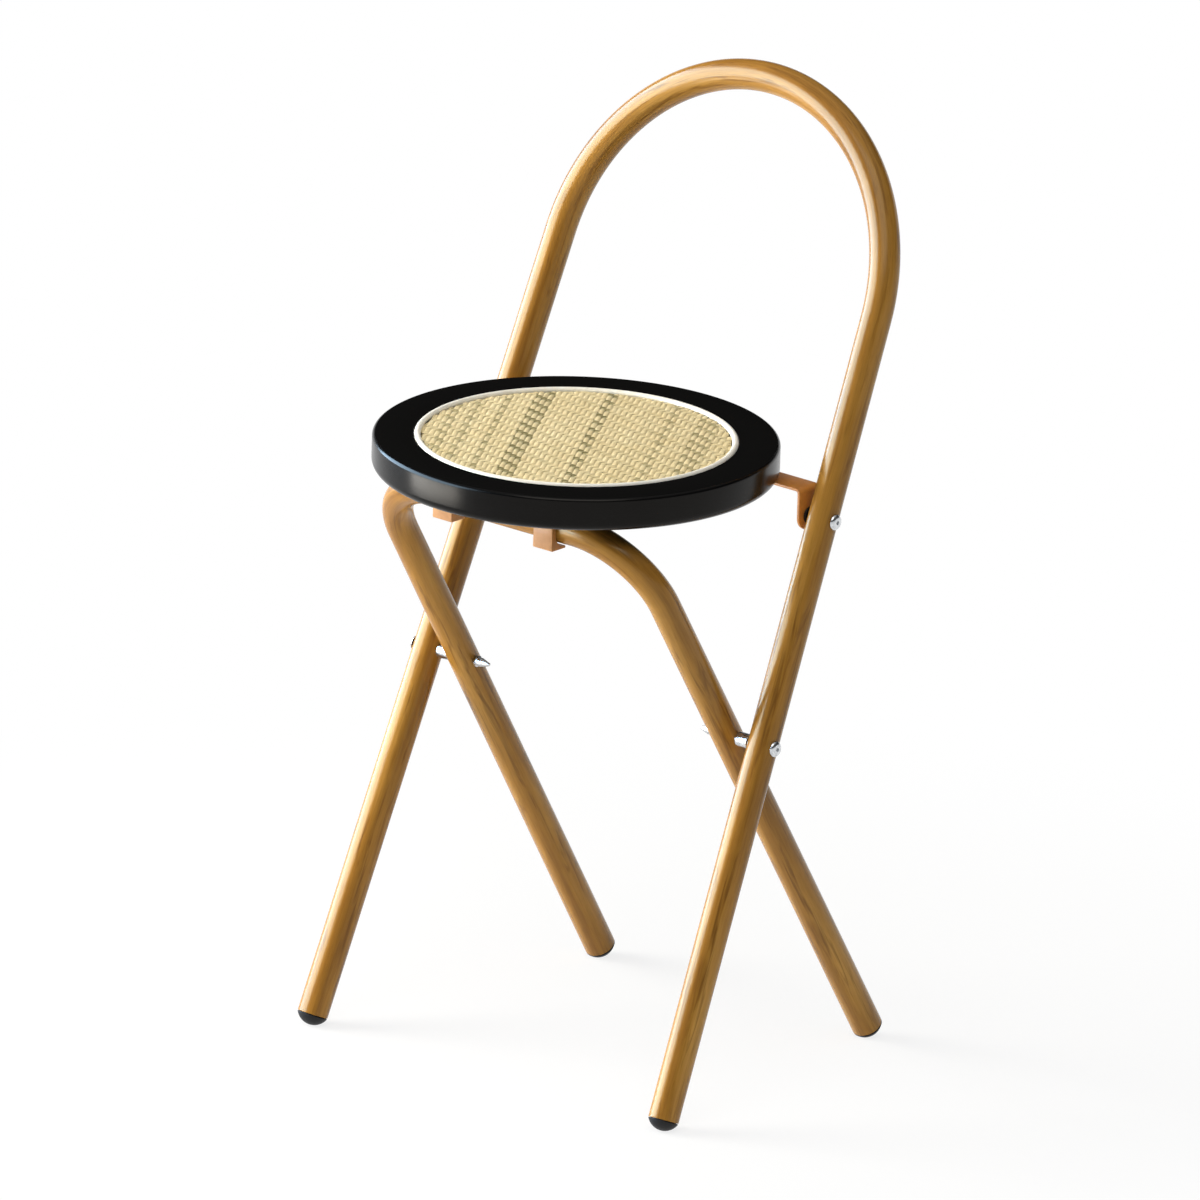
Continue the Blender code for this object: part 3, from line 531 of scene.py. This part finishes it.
def makePlug(name, spec, side, body, node):
    # part of a sphere turned about the leg, flattened where it stands, and a shank up the tube
    up, floorAt, _ = tubePlane(spec)
    domeSlope, _, domeRadius = legEnd(spec)
    splay = math.radians(spec["splay"])
    axis = up * math.cos(splay) - np.array([side, 0, 0]) * math.sin(splay)
    at = floorAt + up * domeSlope + np.array([side * legHalf(spec, domeSlope), 0, 0])
    rise = domeRadius - plug["dome"]
    rim = math.degrees(math.asin(rise / domeRadius))
    dome = arcPoints((0, 0), domeRadius, -90, -rim - plug["edgeTurn"], plug["rows"])
    top = -rise + plug["shankLength"]
    wide, edge, shank = tube["radius"], plug["edge"], plug["shank"]
    shoulder = [(wide - plug["inset"], -rise - edge), (wide - edge, -rise),
                (shank, -rise), (shank, top), (0, top)]
    profile = np.concatenate([dome, shoulder])
    profile[0, 0] = 0
    grid = placed(turned(profile, plug["columns"]), at, axis)
    grid[..., 2] = np.maximum(grid[..., 2], 0)
    addPiece(name, [grid], plasticFinish, body, [node])


makeTube("backTube", backTube, "back", "back_frame")
makeTube("frontTube", frontTube, "front", "front_frame")
for word, side in sides.items():
    makePlug("frontPlug_" + word, backTube, side, "back", "foot_front_" + word)
    makePlug("rearPlug_" + word, frontTube, side, "front", "foot_rear_" + word)
print("tubes and plugs made")


# Seat

board = {
    "topRound": 0.003, "bottomRound": 0.008, "border": 0.0335, "recess": 0.004, "lip": 0.0006,
    "topRows": 14, "bottomRows": 10, "lipRows": 5, "columns": 192,
    "level": 0.0001,  # how far under the top still counts as the top face
}
ring = {"width": 0.0052, "gap": 0.0003, "rows": 17}
weave = {  # a pair is for warps, for wefts
    "turn": 32.0,  # degrees from the sitter's forward line to the yarns along the stripes
    "pitch": (0.00457, 0.00487), "width": (0.0043, 0.0040), "thickness": (0.0011, 0.0010),
    "swing": 0.00042, "snap": 1.7,  # how far a yarn rises and falls, and how quickly
    "middle": 0.0027, "weftDrop": 0.0001, "crown": 0.0015,
    "edgeDrop": 0.0007, "edgeWidth": 0.006, "edgeGap": 0.0001,  # at the piping
    "swell": 0.05, "swellLength": 0.0113, "swellShift": 2.4,  # hand-spun unevenness
    "mottle": 0.05, "mottleShift": 5.3, "ground": (0.0, 0.12),  # tone of each yarn
    "layShift": 0.31,  # sets the fibres of the yarns apart
    # depth: the span over which the painted shade darkens the yarn into the weave's holes
    "depth": 0.0017,  # from the top of the weave to its darkest holes
    "step": 0.0012, "fewest": 4, "columns": 8, "sharp": 80,
    # stripes, where the warps stay on top for longer and the wefts are olive: middle, half width, strength
    "stripes": [(-0.0415, 0.0078, 1.0), (0.0108, 0.0045, 1.0), (-0.0690, 0.0025, 0.7), (-0.090, 0.0035, 0.55),
                (-0.106, 0.0045, 0.55), (0.0665, 0.0035, 0.5), (0.0915, 0.0025, 0.7), (0.101, 0.0055, 0.55)],
    "lift": 0.4, "olive": (0.15, 0.75),
}
seatRadius = (seatHigh[0] - seatLow[0]) / 2
seatTop = seatHigh[2]
recessFloor = seatTop - board["recess"]
ringRadius = seatRadius - board["border"]
weaveRadius = ringRadius - ring["width"] - ring["gap"]


def onSeat(profile, columns):  # a profile turned about the seat's middle
    return placed(turned(profile, columns), (seatAt[0], seatAt[1], 0), (0, 0, 1))


def makeBoard():  # a turned profile: rounded rims and a flat recess
    bottomRound, topRound, lip = board["bottomRound"], board["topRound"], board["lip"]
    low, high = seatLow[2] + bottomRound, seatTop - topRound
    recess = ringRadius + ring["gap"]
    profile = np.concatenate([
        [(0, seatLow[2])],
        arcPoints((seatRadius - bottomRound, low), bottomRound, -90, 0, board["bottomRows"]),
        arcPoints((seatRadius - topRound, high), topRound, 0, 90, board["topRows"]),
        arcPoints((recess + lip, seatTop - lip), lip, 90, 180, board["lipRows"]),
        [(recess, recessFloor), (0, recessFloor)],
    ])
    topFace = (profile[:, 1] > seatTop - board["level"]) & (profile[:, 0] > recess)
    addPiece("seatBoard", [onSeat(profile, board["columns"])], lacquerFinish, "seat", ["seat_board"],
             {"topFace": np.repeat(topFace, board["columns"])})


def makeRing():  # a turned circle, lying against the wall of the recess
    half = ring["width"] / 2
    profile = arcPoints((ringRadius - half, recessFloor + ring["gap"] + half), half, 0, 360, ring["rows"])
    addPiece("seatPiping", [onSeat(profile, board["columns"])], pipingFinish, "seat", ["seat_ring"])


def crossing(u, v, share):
    # +1 where the warp is on top, -1 where the weft is: a steepened sine, two over and two under, one step on
    # for each yarn. In a stripe the sine is lifted by share
    phase = math.pi / 2 * (v / weave["pitch"][1] + u / weave["pitch"][0]) + math.pi / 4
    return np.tanh(weave["snap"] * (np.sin(phase) + weave["lift"] * share)) / math.tanh(weave["snap"])


def stripeShare(u):  # 0 between the stripes, and inside one its strength
    middle, half, strength = np.array(weave["stripes"]).T[..., None]
    return np.max(strength * (abs(u - middle) < half), axis=0)


def makeYarns(name, way, nodes):
    # way 0: warps along the stripes, 1: wefts across them. Each yarn is an ellipse carried along a line that
    # rises and falls with crossing(), on a low dome, and dips at the piping
    turn = math.radians(weave["turn"])
    acrossWay = np.array([math.cos(turn), math.sin(turn), 0])  # u
    alongWay = np.array([-math.sin(turn), math.cos(turn), 0])  # v
    reach = weaveRadius - weave["edgeGap"]
    pitch = weave["pitch"][way]
    count = int(reach / pitch)
    sign = 1 if way == 0 else -1
    size = np.array([weave["width"][way], weave["thickness"][way]]) / 2
    angle = spokes(weave["columns"])
    grids, tones, shadeDepths, lays = [], [], [], []
    for number in range(-count, count + 1):
        offset = number * pitch
        half = math.sqrt(reach ** 2 - offset ** 2)
        run = np.linspace(-half, half, max(weave["fewest"], round(2 * half / weave["step"])))
        u, v = (np.full_like(run, offset), run) if way == 0 else (run, np.full_like(run, offset))
        share = stripeShare(u)
        radius = np.hypot(u, v)
        height = weave["middle"] + sign * weave["swing"] * crossing(u, v, share)
        dip = np.clip((radius - weaveRadius + weave["edgeWidth"]) / weave["edgeWidth"], 0, 1)
        dome = weave["crown"] * (1 - (radius / weaveRadius) ** 2) - weave["edgeDrop"] * dip ** 2
        height += dome - weave["weftDrop"] * way
        path = seatAt * (1, 1, 0) + u[:, None] * acrossWay + v[:, None] * alongWay
        path[:, 2] = recessFloor + height
        tangent = unit(np.gradient(path, axis=0))
        swell = 1 + weave["swell"] * np.sin(run / weave["swellLength"] + number * weave["swellShift"])
        section = size * circle(angle)[None] * swell[:, None, None]
        section[[0, -1]] *= 0  # closed ends
        level = unit(np.cross(tangent, np.broadcast_to([0, 0, 1.0], tangent.shape)))
        grids.append(carried(path, level, np.cross(level, tangent), section))
        mottled = weave["mottle"] * (1 + math.sin(number * weave["mottleShift"] + way)) + weave["ground"][way]
        tones.append(np.repeat(mottled + weave["olive"][way] * share, weave["columns"]))
        top = recessFloor + weave["middle"] + dome + weave["swing"] + weave["thickness"][0] / 2
        # how deep each point lies under the weave's top, for the painted shade in its holes
        shadeDepths.append(np.clip((top[:, None] - grids[-1][..., 2]) / weave["depth"], 0, 1).ravel())
        wound = np.broadcast_to(angle * size[0] + number * weave["layShift"], section.shape[:2])
        lay = np.stack([wound, np.zeros_like(wound), np.broadcast_to(run[:, None], wound.shape)], -1)
        lays.append(lay.reshape(-1, 3))
    marks = {"tone": np.concatenate(tones), "depth": np.concatenate(shadeDepths), "lay": np.concatenate(lays)}
    return addPiece(name, grids, yarnFinish, "seat", nodes, marks, sharp=weave["sharp"])


def makeBackingCloth(pieces):  # a thin round cloth on the recess's floor, under the yarns
    low = recessFloor + ring["gap"]
    radii = np.linspace(0, weaveRadius, backing["rings"])
    under = np.stack([radii, np.full_like(radii, low)], -1)
    over = np.stack([radii[::-1], np.full_like(radii, low + backing["thickness"])], -1)
    grid = onSeat(np.concatenate([under, over]), backing["columns"])
    cloth = addPiece("weaveBacking", [grid], backingFinish, "seat", ["seat_weave"])


makeBoard()
makeRing()
makeBackingCloth([makeYarns("weaveWarps", 0, ["seat_weave"]), makeYarns("weaveWefts", 1, ["seat_weave"])])
print("seat made, weave radius", round(weaveRadius, 4))


# Straps under the seat

bracket = {
    "width": 0.024, "thickness": 0.0025, "bend": 0.00325, "tabBelow": 0.012, "corner": 0.0115,
    "boltGap": 0.0025, "screws": (0.030, 0.085), "bendRows": 10, "tabRows": 16,
}
hook = {
    "spacing": 0.106, "width": 0.020, "plate": 0.0025, "wall": 0.0045, "floor": 0.002, "round": 0.0115,
    "lip": 0.012, "lipGap": 0.0015, "plateBehind": 0.036, "screws": (0.012, 0.028), "gap": 0.0003,
    "soft": 0.0009, "rows": 11, "sharp": 30,
}
strap = {"edge": 0.0005, "edgePoints": 4}  # softened long edges
plateTop = seatLow[2] - hook["gap"]
hingeHalf = legHalf(backTube, hingeAt[2] / math.cos(math.radians(backTube["lean"])))
tubeAcross = tube["radius"] / math.cos(math.radians(backTube["splay"]))  # a splayed tube's half width along X
tabOutside = hingeHalf - tubeAcross - bracket["boltGap"]
frontUp, frontFloor, _ = tubePlane(frontTube)
barAt = frontFloor + frontUp * frontTube["top"] / math.cos(math.radians(frontTube["lean"]))


def filletedLine(corners, radius, rows):
    # each inner corner turned on an arc; returns points, tangents, the first and last way, and both ends
    corners = np.asarray(corners, float)
    before, after = unit(corners[1:-1] - corners[:-2]), unit(corners[2:] - corners[1:-1])
    points, along = [], []
    for corner, first, second in zip(corners[1:-1], before, after):
        angle = math.acos(np.clip(first @ second, -1, 1))
        cut = radius * math.tan(angle / 2)
        sweep = np.linspace(0, angle, rows)
        inward = (second - first * (first @ second)) / math.sin(angle)
        arc = np.sin(sweep)[:, None] * first + (1 - np.cos(sweep))[:, None] * inward
        points.append(corner - first * cut + radius * arc)
        along.append(np.cos(sweep)[:, None] * first + np.sin(sweep)[:, None] * inward)
    return np.concatenate(points), np.concatenate(along), before[0], after[-1], corners[0], corners[-1]


def barGrid(outer, inner, half, toSpace):
    # a bar between two lines in a plane, half wide to each side of it: a rounded oblong from each inner point
    # to its outer point
    edge, count = strap["edge"], strap["edgePoints"]
    signs = np.array([[1, 1], [-1, 1], [-1, -1], [1, -1]])  # the oblong's corners
    spin = np.radians(np.linspace(0, 90, count))[None] + np.arange(len(signs))[:, None] * math.pi / 2
    rounded = edge * circle(spin).reshape(-1, 2)
    signs = np.repeat(signs, count, 0)
    rows = np.r_[0, 0:len(outer), len(outer) - 1]
    deep = np.linalg.norm(outer - inner, axis=1) / 2
    way = (outer - inner) / (2 * deep[:, None])
    flatten = np.ones((len(rows), 1))
    flatten[[0, -1]] = 0  # the end rows fold onto the middle line and close the bar
    acrossPart = signs[:, 0] * (half[rows] - edge)[:, None] + rounded[:, 0]
    throughPart = flatten * (signs[:, 1] * (deep[rows] - edge)[:, None] + rounded[:, 1])
    flat = ((outer + inner) / 2)[rows][:, None] + throughPart[..., None] * way[rows][:, None]
    return toSpace(flat[..., 0], flat[..., 1], acrossPart)


def makeBracket():
    # flat bar on a filleted line; near each end its width shrinks along a quarter circle, for the round tabs
    middle = plateTop - bracket["thickness"] / 2
    reach = tabOutside - bracket["thickness"] / 2
    low = hingeAt[2] - bracket["tabBelow"]
    corners = [(-reach, low), (-reach, middle), (reach, middle), (reach, low)]
    points, along, firstWay, lastWay, start, end = filletedLine(corners, bracket["bend"], bracket["bendRows"])
    count, corner = bracket["tabRows"], bracket["corner"]
    inset = corner * (1 - np.cos(np.linspace(0, math.pi / 2, count)))  # distances from the end
    points = np.concatenate([start + inset[:, None] * firstWay, points, end - inset[::-1, None] * lastWay])
    along = np.concatenate([np.repeat(firstWay[None], count, 0), along, np.repeat(lastWay[None], count, 0)])
    half = np.full(len(points), bracket["width"] / 2)
    shrink = corner - np.sqrt(np.maximum(corner ** 2 - (corner - inset) ** 2, 0))
    half[:count] -= shrink
    half[-count:] -= shrink[::-1]
    normal = np.stack([-along[:, 1], along[:, 0]], -1) * bracket["thickness"] / 2
    grid = barGrid(points + normal, points - normal, half,
                   lambda along, up, across: np.stack([along, hingeAt[1] + across, up], -1))
    addPiece("rearBracket", [grid], strapFinish, "seat", ["rear_bracket"])


def makeHook(name, x, node):
    # outer line: plate, front wall and lip with two small corners.
    # inner line: the plate's underside, the wall and the hollow
    wall = barAt[1] - tube["radius"] - hook["gap"]
    front = wall - hook["wall"]
    lip = barAt[2] - tube["radius"] - hook["lipGap"]
    low, lipEnd = lip - hook["floor"], wall + hook["lip"]
    plateEnd, plateLow = barAt[1] + tube["radius"] + hook["plateBehind"], plateTop - hook["plate"]
    hollow, soft, count = (wall + hook["round"], lip + hook["round"]), hook["soft"], hook["rows"]
    outer = np.concatenate([
        [(plateEnd, plateTop), (wall, plateTop)],
        arcPoints((front + soft, plateTop - soft), soft, 90, 180, count),
        [(front, hollow[1])], arcPoints((front + soft, low + soft), soft, 180, 270, count), [(lipEnd, low)]])
    inner = np.concatenate([
        [(plateEnd, plateLow)], np.repeat([(wall, plateLow)], count + 1, 0),
        [(wall, hollow[1])], arcPoints(hollow, hook["round"], 180, 270, count), [(lipEnd, lip)]])
    half = np.full(len(outer), hook["width"] / 2)
    grid = barGrid(outer, inner, half, lambda along, up, across: np.stack([x + across, along, up], -1))
    addPiece(name, [grid], hookHighlightFinish, "seat", [node], sharp=hook["sharp"])


makeBracket()
for word, side in sides.items():
    makeHook("hookBlock_" + word, side * hook["spacing"] / 2, "hook_" + word)
print("straps made")


# Bolts, nuts, spacers and screws

bolt = {
    "radius": 0.0025, "point": 0.0005, "gap": 0.0003,
    "head": 0.0065, "headHeight": 0.0028, "headEdge": 0.0003,
    "crown": (4, 55), "crownRows": 12,  # degrees of arc in the dome
    "socket": 0.003, "socketDepth": 0.0018, "socketEdge": 0.0001, "socketCone": 0.0006,
}
nut = {
    "flats": 0.008, "height": 0.004, "past": 0.002, "inset": 0.0002, "chamfer": 0.0006,
    "capRadius": 0.0037, "capStraight": 0.0025, "capHeight": 0.011, "capTip": 0.0015, "tipRows": 10,
    "bore": 0.0004, "boreGap": 0.0001,
}
spacer = {"cross": 0.006, "hinge": 0.007, "soft": 0.0004}
screw = {
    "head": 0.0036, "shank": 0.00175, "headDepth": 0.0019, "length": 0.0208, "rings": 22, "columns": 64,
    "slot": 0.0009, "slotSlope": 0.0002, "reach": 0.0021, "reachSlope": 0.0003, "depth": 0.0011,
}
fastener = {"columns": 72, "sharp": 32}  # columns: a multiple of 12, so that a hexagon's corners fall on them


def addFastener(name, profile, flats, at, side, finish, node):  # a turned profile on an axis along X
    grid = placed(turned(profile, fastener["columns"], flats), at, (side, 0, 0))
    addPiece(name, [grid], finish, "back", [node], sharp=fastener["sharp"])


def makeBolt(name, at, side, length, node):
    # profile from the point of the shank to the dome of the head, then down into a six-sided socket
    radius, point, edge, high = bolt["radius"], bolt["point"], bolt["socketEdge"], bolt["headHeight"]
    dome = arcPoints((0, 0), 1, *bolt["crown"], bolt["crownRows"])
    dome *= (bolt["head"], high / math.sin(math.radians(bolt["crown"][1])))
    low = high - bolt["socketDepth"]
    rim = bolt["socket"] / math.sqrt(3) + edge
    profile = np.concatenate([
        [(0, -length), (radius - point, -length), (radius, -length + point), (radius, 0),
         (bolt["head"] - bolt["headEdge"], 0)],
        dome, [(rim, high), (0, high - edge), (0, low), (0, low - bolt["socketCone"])]])
    last = len(profile)
    flats = {last - 3: bolt["socket"], last - 2: bolt["socket"] - edge}
    addFastener(name, profile, flats, at, side, zincFinish, node)


def makeNut(name, at, side, cap, node):
    # a hexagon with a turned chamfer at each end, and on the cap nut a tapering dome, built inwards from the
    # clamped face
    flats, height, chamfer = nut["flats"], nut["height"], nut["chamfer"]
    corner = flats / 2 - nut["inset"]
    profile = [(0, 0), (corner, 0), (0, -chamfer), (0, -height + chamfer), (corner, -height)]
    if cap:
        end = -height - nut["capHeight"]
        tip = arcPoints((0, end + nut["capTip"]), nut["capTip"], 0, -90, nut["tipRows"])
        tip[-1, 0] = 0
        radius = nut["capRadius"]
        profile += [(radius, -height), (radius, -height - nut["capStraight"]), *tip.tolist()]
    else:
        bore = -height + nut["bore"]
        radius = bolt["radius"]
        profile += [(radius + nut["bore"], -height), (radius + nut["boreGap"], bore), (0, bore)]
    addFastener(name, profile, {2: flats, 3: flats}, at, side, zincFinish, node)


def makeSpacer(name, at, side, outer, length, finish, node):  # a turned ring with softened edges
    inner, soft = bolt["radius"] + bolt["gap"], spacer["soft"]
    profile = [(inner, 0), (outer - soft, 0), (outer, soft), (outer, length - soft), (outer - soft, length),
               (inner, length), (inner, 0)]
    addFastener(name, profile, None, at, side, finish, node)


def makeScrew(name, at, node):
    # countersunk head, face down, with a cross recess: the face is pushed in where either coordinate is near
    # the middle
    count = screw["rings"]
    face = np.stack([np.linspace(0, screw["head"], count), np.zeros(count)], -1)
    shank = [(screw["shank"], screw["headDepth"]), (screw["shank"], screw["length"]), (0, screw["length"])]
    grid = turned(np.concatenate([face, shank]), screw["columns"])
    x, y = abs(grid[:count, :, 0]), abs(grid[:count, :, 1])
    acrossSlot = np.clip((screw["slot"] / 2 - np.minimum(x, y)) / screw["slotSlope"], 0, 1)
    alongSlot = np.clip((screw["reach"] - np.maximum(x, y)) / screw["reachSlope"], 0, 1)
    grid[:count, :, 2] += screw["depth"] * (acrossSlot * alongSlot)
    addPiece(name, [grid + np.asarray(at)], zincFinish, "seat", [node])


gap = bolt["gap"]
crossOutside = backTube["halfAtCross"] + tubeAcross + gap
crossInside = backTube["halfAtCross"] - tubeAcross - gap
frontAcross = tube["radius"] / math.cos(math.radians(frontTube["splay"]))
frontOutside = frontTube["halfAtCross"] + frontAcross + gap
frontInside = frontTube["halfAtCross"] - frontAcross - gap
hingeOutside = hingeHalf + tubeAcross + gap
nutFace = tabOutside - bracket["thickness"] - gap
pastNut = nut["height"] + nut["past"]
onCross, onHinge = crossAt * (0, 1, 1), hingeAt * (0, 1, 1)
for word, side in sides.items():
    mirror = np.array([side, 0, 0])
    makeBolt("crossBolt_" + word, onCross + mirror * crossOutside, side, crossOutside - frontInside + pastNut,
             "cross_bolt_" + word)
    makeSpacer("crossSpacer_" + word, onCross + mirror * frontOutside, side, spacer["cross"],
               crossInside - frontOutside, zincFinish, "cross_spacer_" + word)
    makeNut("crossNut_" + word, onCross + mirror * frontInside, side, True, "cross_nut_" + word)
    makeBolt("seatBolt_" + word, onHinge + mirror * hingeOutside, side, hingeOutside - nutFace + pastNut,
             "seat_bolt_" + word)
    makeSpacer("seatSpacer_" + word, onHinge + mirror * (tabOutside + gap), side, spacer["hinge"],
               bracket["boltGap"] - 2 * gap, plasticFinish, "seat_spacer_" + word)
    makeNut("seatNut_" + word, onHinge + mirror * nutFace, side, False, "seat_nut_" + word)
    for number, behind in enumerate(hook["screws"], 1):
        at = (side * hook["spacing"] / 2, barAt[1] + tube["radius"] + behind, plateTop - hook["plate"])
        makeScrew(f"hookScrew_{word}_{number}", at, f"hook_screw_{word}_{number}")
inner, outer = bracket["screws"]
for number, x in enumerate((-outer, -inner, inner, outer), 1):
    at = (x, hingeAt[1], plateTop - bracket["thickness"])
    makeScrew(f"bracketScrew_{number}", at, f"bracket_screw_{number}")
print("fasteners made")


# Stage, light and camera

stage = {
    "floorHalf": 30.0, "floor": paint(250, 250, 250), "roughness": 0.9,
    "whiteFrom": (0.3, 0.9), "white": (0.82, 1.0),  # share of plain white, near the stool and further off
}
lights = {  # place, aim, width x height, watts, colour, whether it lights surfaces, and shows in their gloss
    "keyBox": ((-2.17, -1.25, 1.3), (0, 0, 0.6), (1.5, 2.2), 122, (1.0, 0.965, 0.88), True, False),
    "glossPanel": ((-2.25, -1.31, 1.3), (0, 0, 0.6), (4.0, 2.4), 345, (0.74, 1.06, 1.4), False, True),
    "lowStrip": ((-0.98, -1.11, 0.11), (0, -0.04, 0.25), (0.9, 0.18), 8, (1.0, 0.98, 0.94), True, True),
    "topBox": ((0.8, -1.05, 2.7), (0, 0, 0.4), (2.0, 2.0), 30, (1.0, 0.99, 0.97), True, True),
}
sky = {  # heights are the upward part of a direction, 0 at the horizon and 1 overhead
    "low": (0.02, 0.02, 0.02, 1), "high": (0.5, 0.5, 0.5, 1), "heights": (0.55, 0.95),
    "whiteTo": (0.12, 0.2),  # the white band fades out between these heights
}
photo = {  # where the photograph was taken from, in degrees and metres
    "azimuth": 40.488, "elevation": 17.816, "roll": 1.757, "distance": 42.667, "rightOf": 0.024363,
    "aim": (0, -0.04235, 0.382805), "focalPixels": 53474.67, "framePixels": 1200, "sensor": 36.0,
    "clip": (1.0, 200.0),
}


def seenRays(tree):  # 1 for the rays of the camera and of reflections, 0 for those that light a surface
    rays = addNode(tree, "ShaderNodeLightPath").outputs
    seen = maths(tree, "MAXIMUM", rays["Is Camera Ray"], rays["Is Glossy Ray"])
    return maths(tree, "MAXIMUM", seen, rays["Is Transmission Ray"])


def makeFloor():  # lit and shadowed near the stool, and plain white further off for the rays that are seen
    half = stage["floorHalf"]
    mesh = bpy.data.meshes.new("floor")
    corners = [(-half, -half, 0), (half, -half, 0), (half, half, 0), (-half, half, 0)]
    mesh.from_pydata(corners, [], [(0, 1, 2, 3)])
    finish, tree, shader = newFinish("paleFloor", stage["floor"], stage["roughness"])
    glow = addNode(tree, "ShaderNodeEmission", {"Color": white, "Strength": 1.0})
    away = addNode(tree, "ShaderNodeVectorMath", {0: objectPlace(tree)}, operation="LENGTH").outputs["Value"]
    plain = remapped(tree, away, *stage["white"], stage["whiteFrom"], "SMOOTHSTEP")
    share = maths(tree, "MULTIPLY", seenRays(tree), plain)
    both = addNode(tree, "ShaderNodeMixShader", {0: share, 1: shader.outputs[0], 2: glow.outputs[0]})
    tree.links.new(both.outputs[0], tree.nodes["Material Output"].inputs["Surface"])
    mesh.materials.append(finish)
    floor = bpy.data.objects.new("floor", mesh)
    bpy.context.scene.collection.objects.link(floor)


def makeLights():
    for name, (place, aim, size, watts, colour, lit, gloss) in lights.items():
        lamp = bpy.data.lights.new(name, "AREA")
        lamp.shape, lamp.size, lamp.size_y = "RECTANGLE", *size
        lamp.energy, lamp.color = watts, colour
        made = bpy.data.objects.new(name, lamp)
        made.location = place
        made.visible_diffuse, made.visible_glossy = lit, gloss
        made.rotation_mode = "QUATERNION"
        made.rotation_quaternion = (Vector(aim) - Vector(place)).to_track_quat("-Z", "Y")
        bpy.context.scene.collection.objects.link(made)


def makeSky():  # dim low down and paler overhead; for the rays that are seen, white just above the horizon
    world = bpy.data.worlds.new("studio")
    world.use_nodes = True
    tree = world.node_tree
    way = addNode(tree, "ShaderNodeTexCoord").outputs["Generated"]
    height = addNode(tree, "ShaderNodeSeparateXYZ", {"Vector": way}).outputs["Z"]
    dome = ramp(tree, height, sky["heights"], [sky["low"], sky["high"]])
    band = remapped(tree, height, 1.0, 0.0, sky["whiteTo"], "SMOOTHSTEP")
    share = maths(tree, "MULTIPLY", seenRays(tree), band)
    tree.links.new(mixed(tree, share, dome, white), tree.nodes["Background"].inputs["Color"])
    bpy.context.scene.world = world


def makeCamera():
    # right and back are the level camera's own axes, from its azimuth and elevation; roll turns it about back
    azimuth, elevation, roll = (math.radians(photo[key]) for key in ("azimuth", "elevation", "roll"))
    right = Vector((math.cos(azimuth), math.sin(azimuth), 0))
    back = Vector((math.sin(azimuth) * math.cos(elevation), -math.cos(azimuth) * math.cos(elevation),
                   math.sin(elevation)))
    up = back.cross(right)
    across = right * math.cos(roll) + up * math.sin(roll)
    upright = up * math.cos(roll) - right * math.sin(roll)
    camera = bpy.data.objects.new("camera", bpy.data.cameras.new("camera"))
    camera.data.sensor_width = photo["sensor"]
    camera.data.lens = photo["focalPixels"] / photo["framePixels"] * photo["sensor"]
    camera.data.clip_start, camera.data.clip_end = photo["clip"]
    camera.rotation_mode = "QUATERNION"
    camera.rotation_quaternion = Matrix((across, upright, back)).transposed().to_quaternion()
    camera.location = Vector(photo["aim"]) + right * photo["rightOf"] + back * photo["distance"]
    bpy.context.scene.collection.objects.link(camera)
    bpy.context.scene.camera = camera


makeFloor()
makeLights()
makeSky()
makeCamera()
bpy.context.scene.view_settings.view_transform = "Standard"
print("stage, light and camera made")
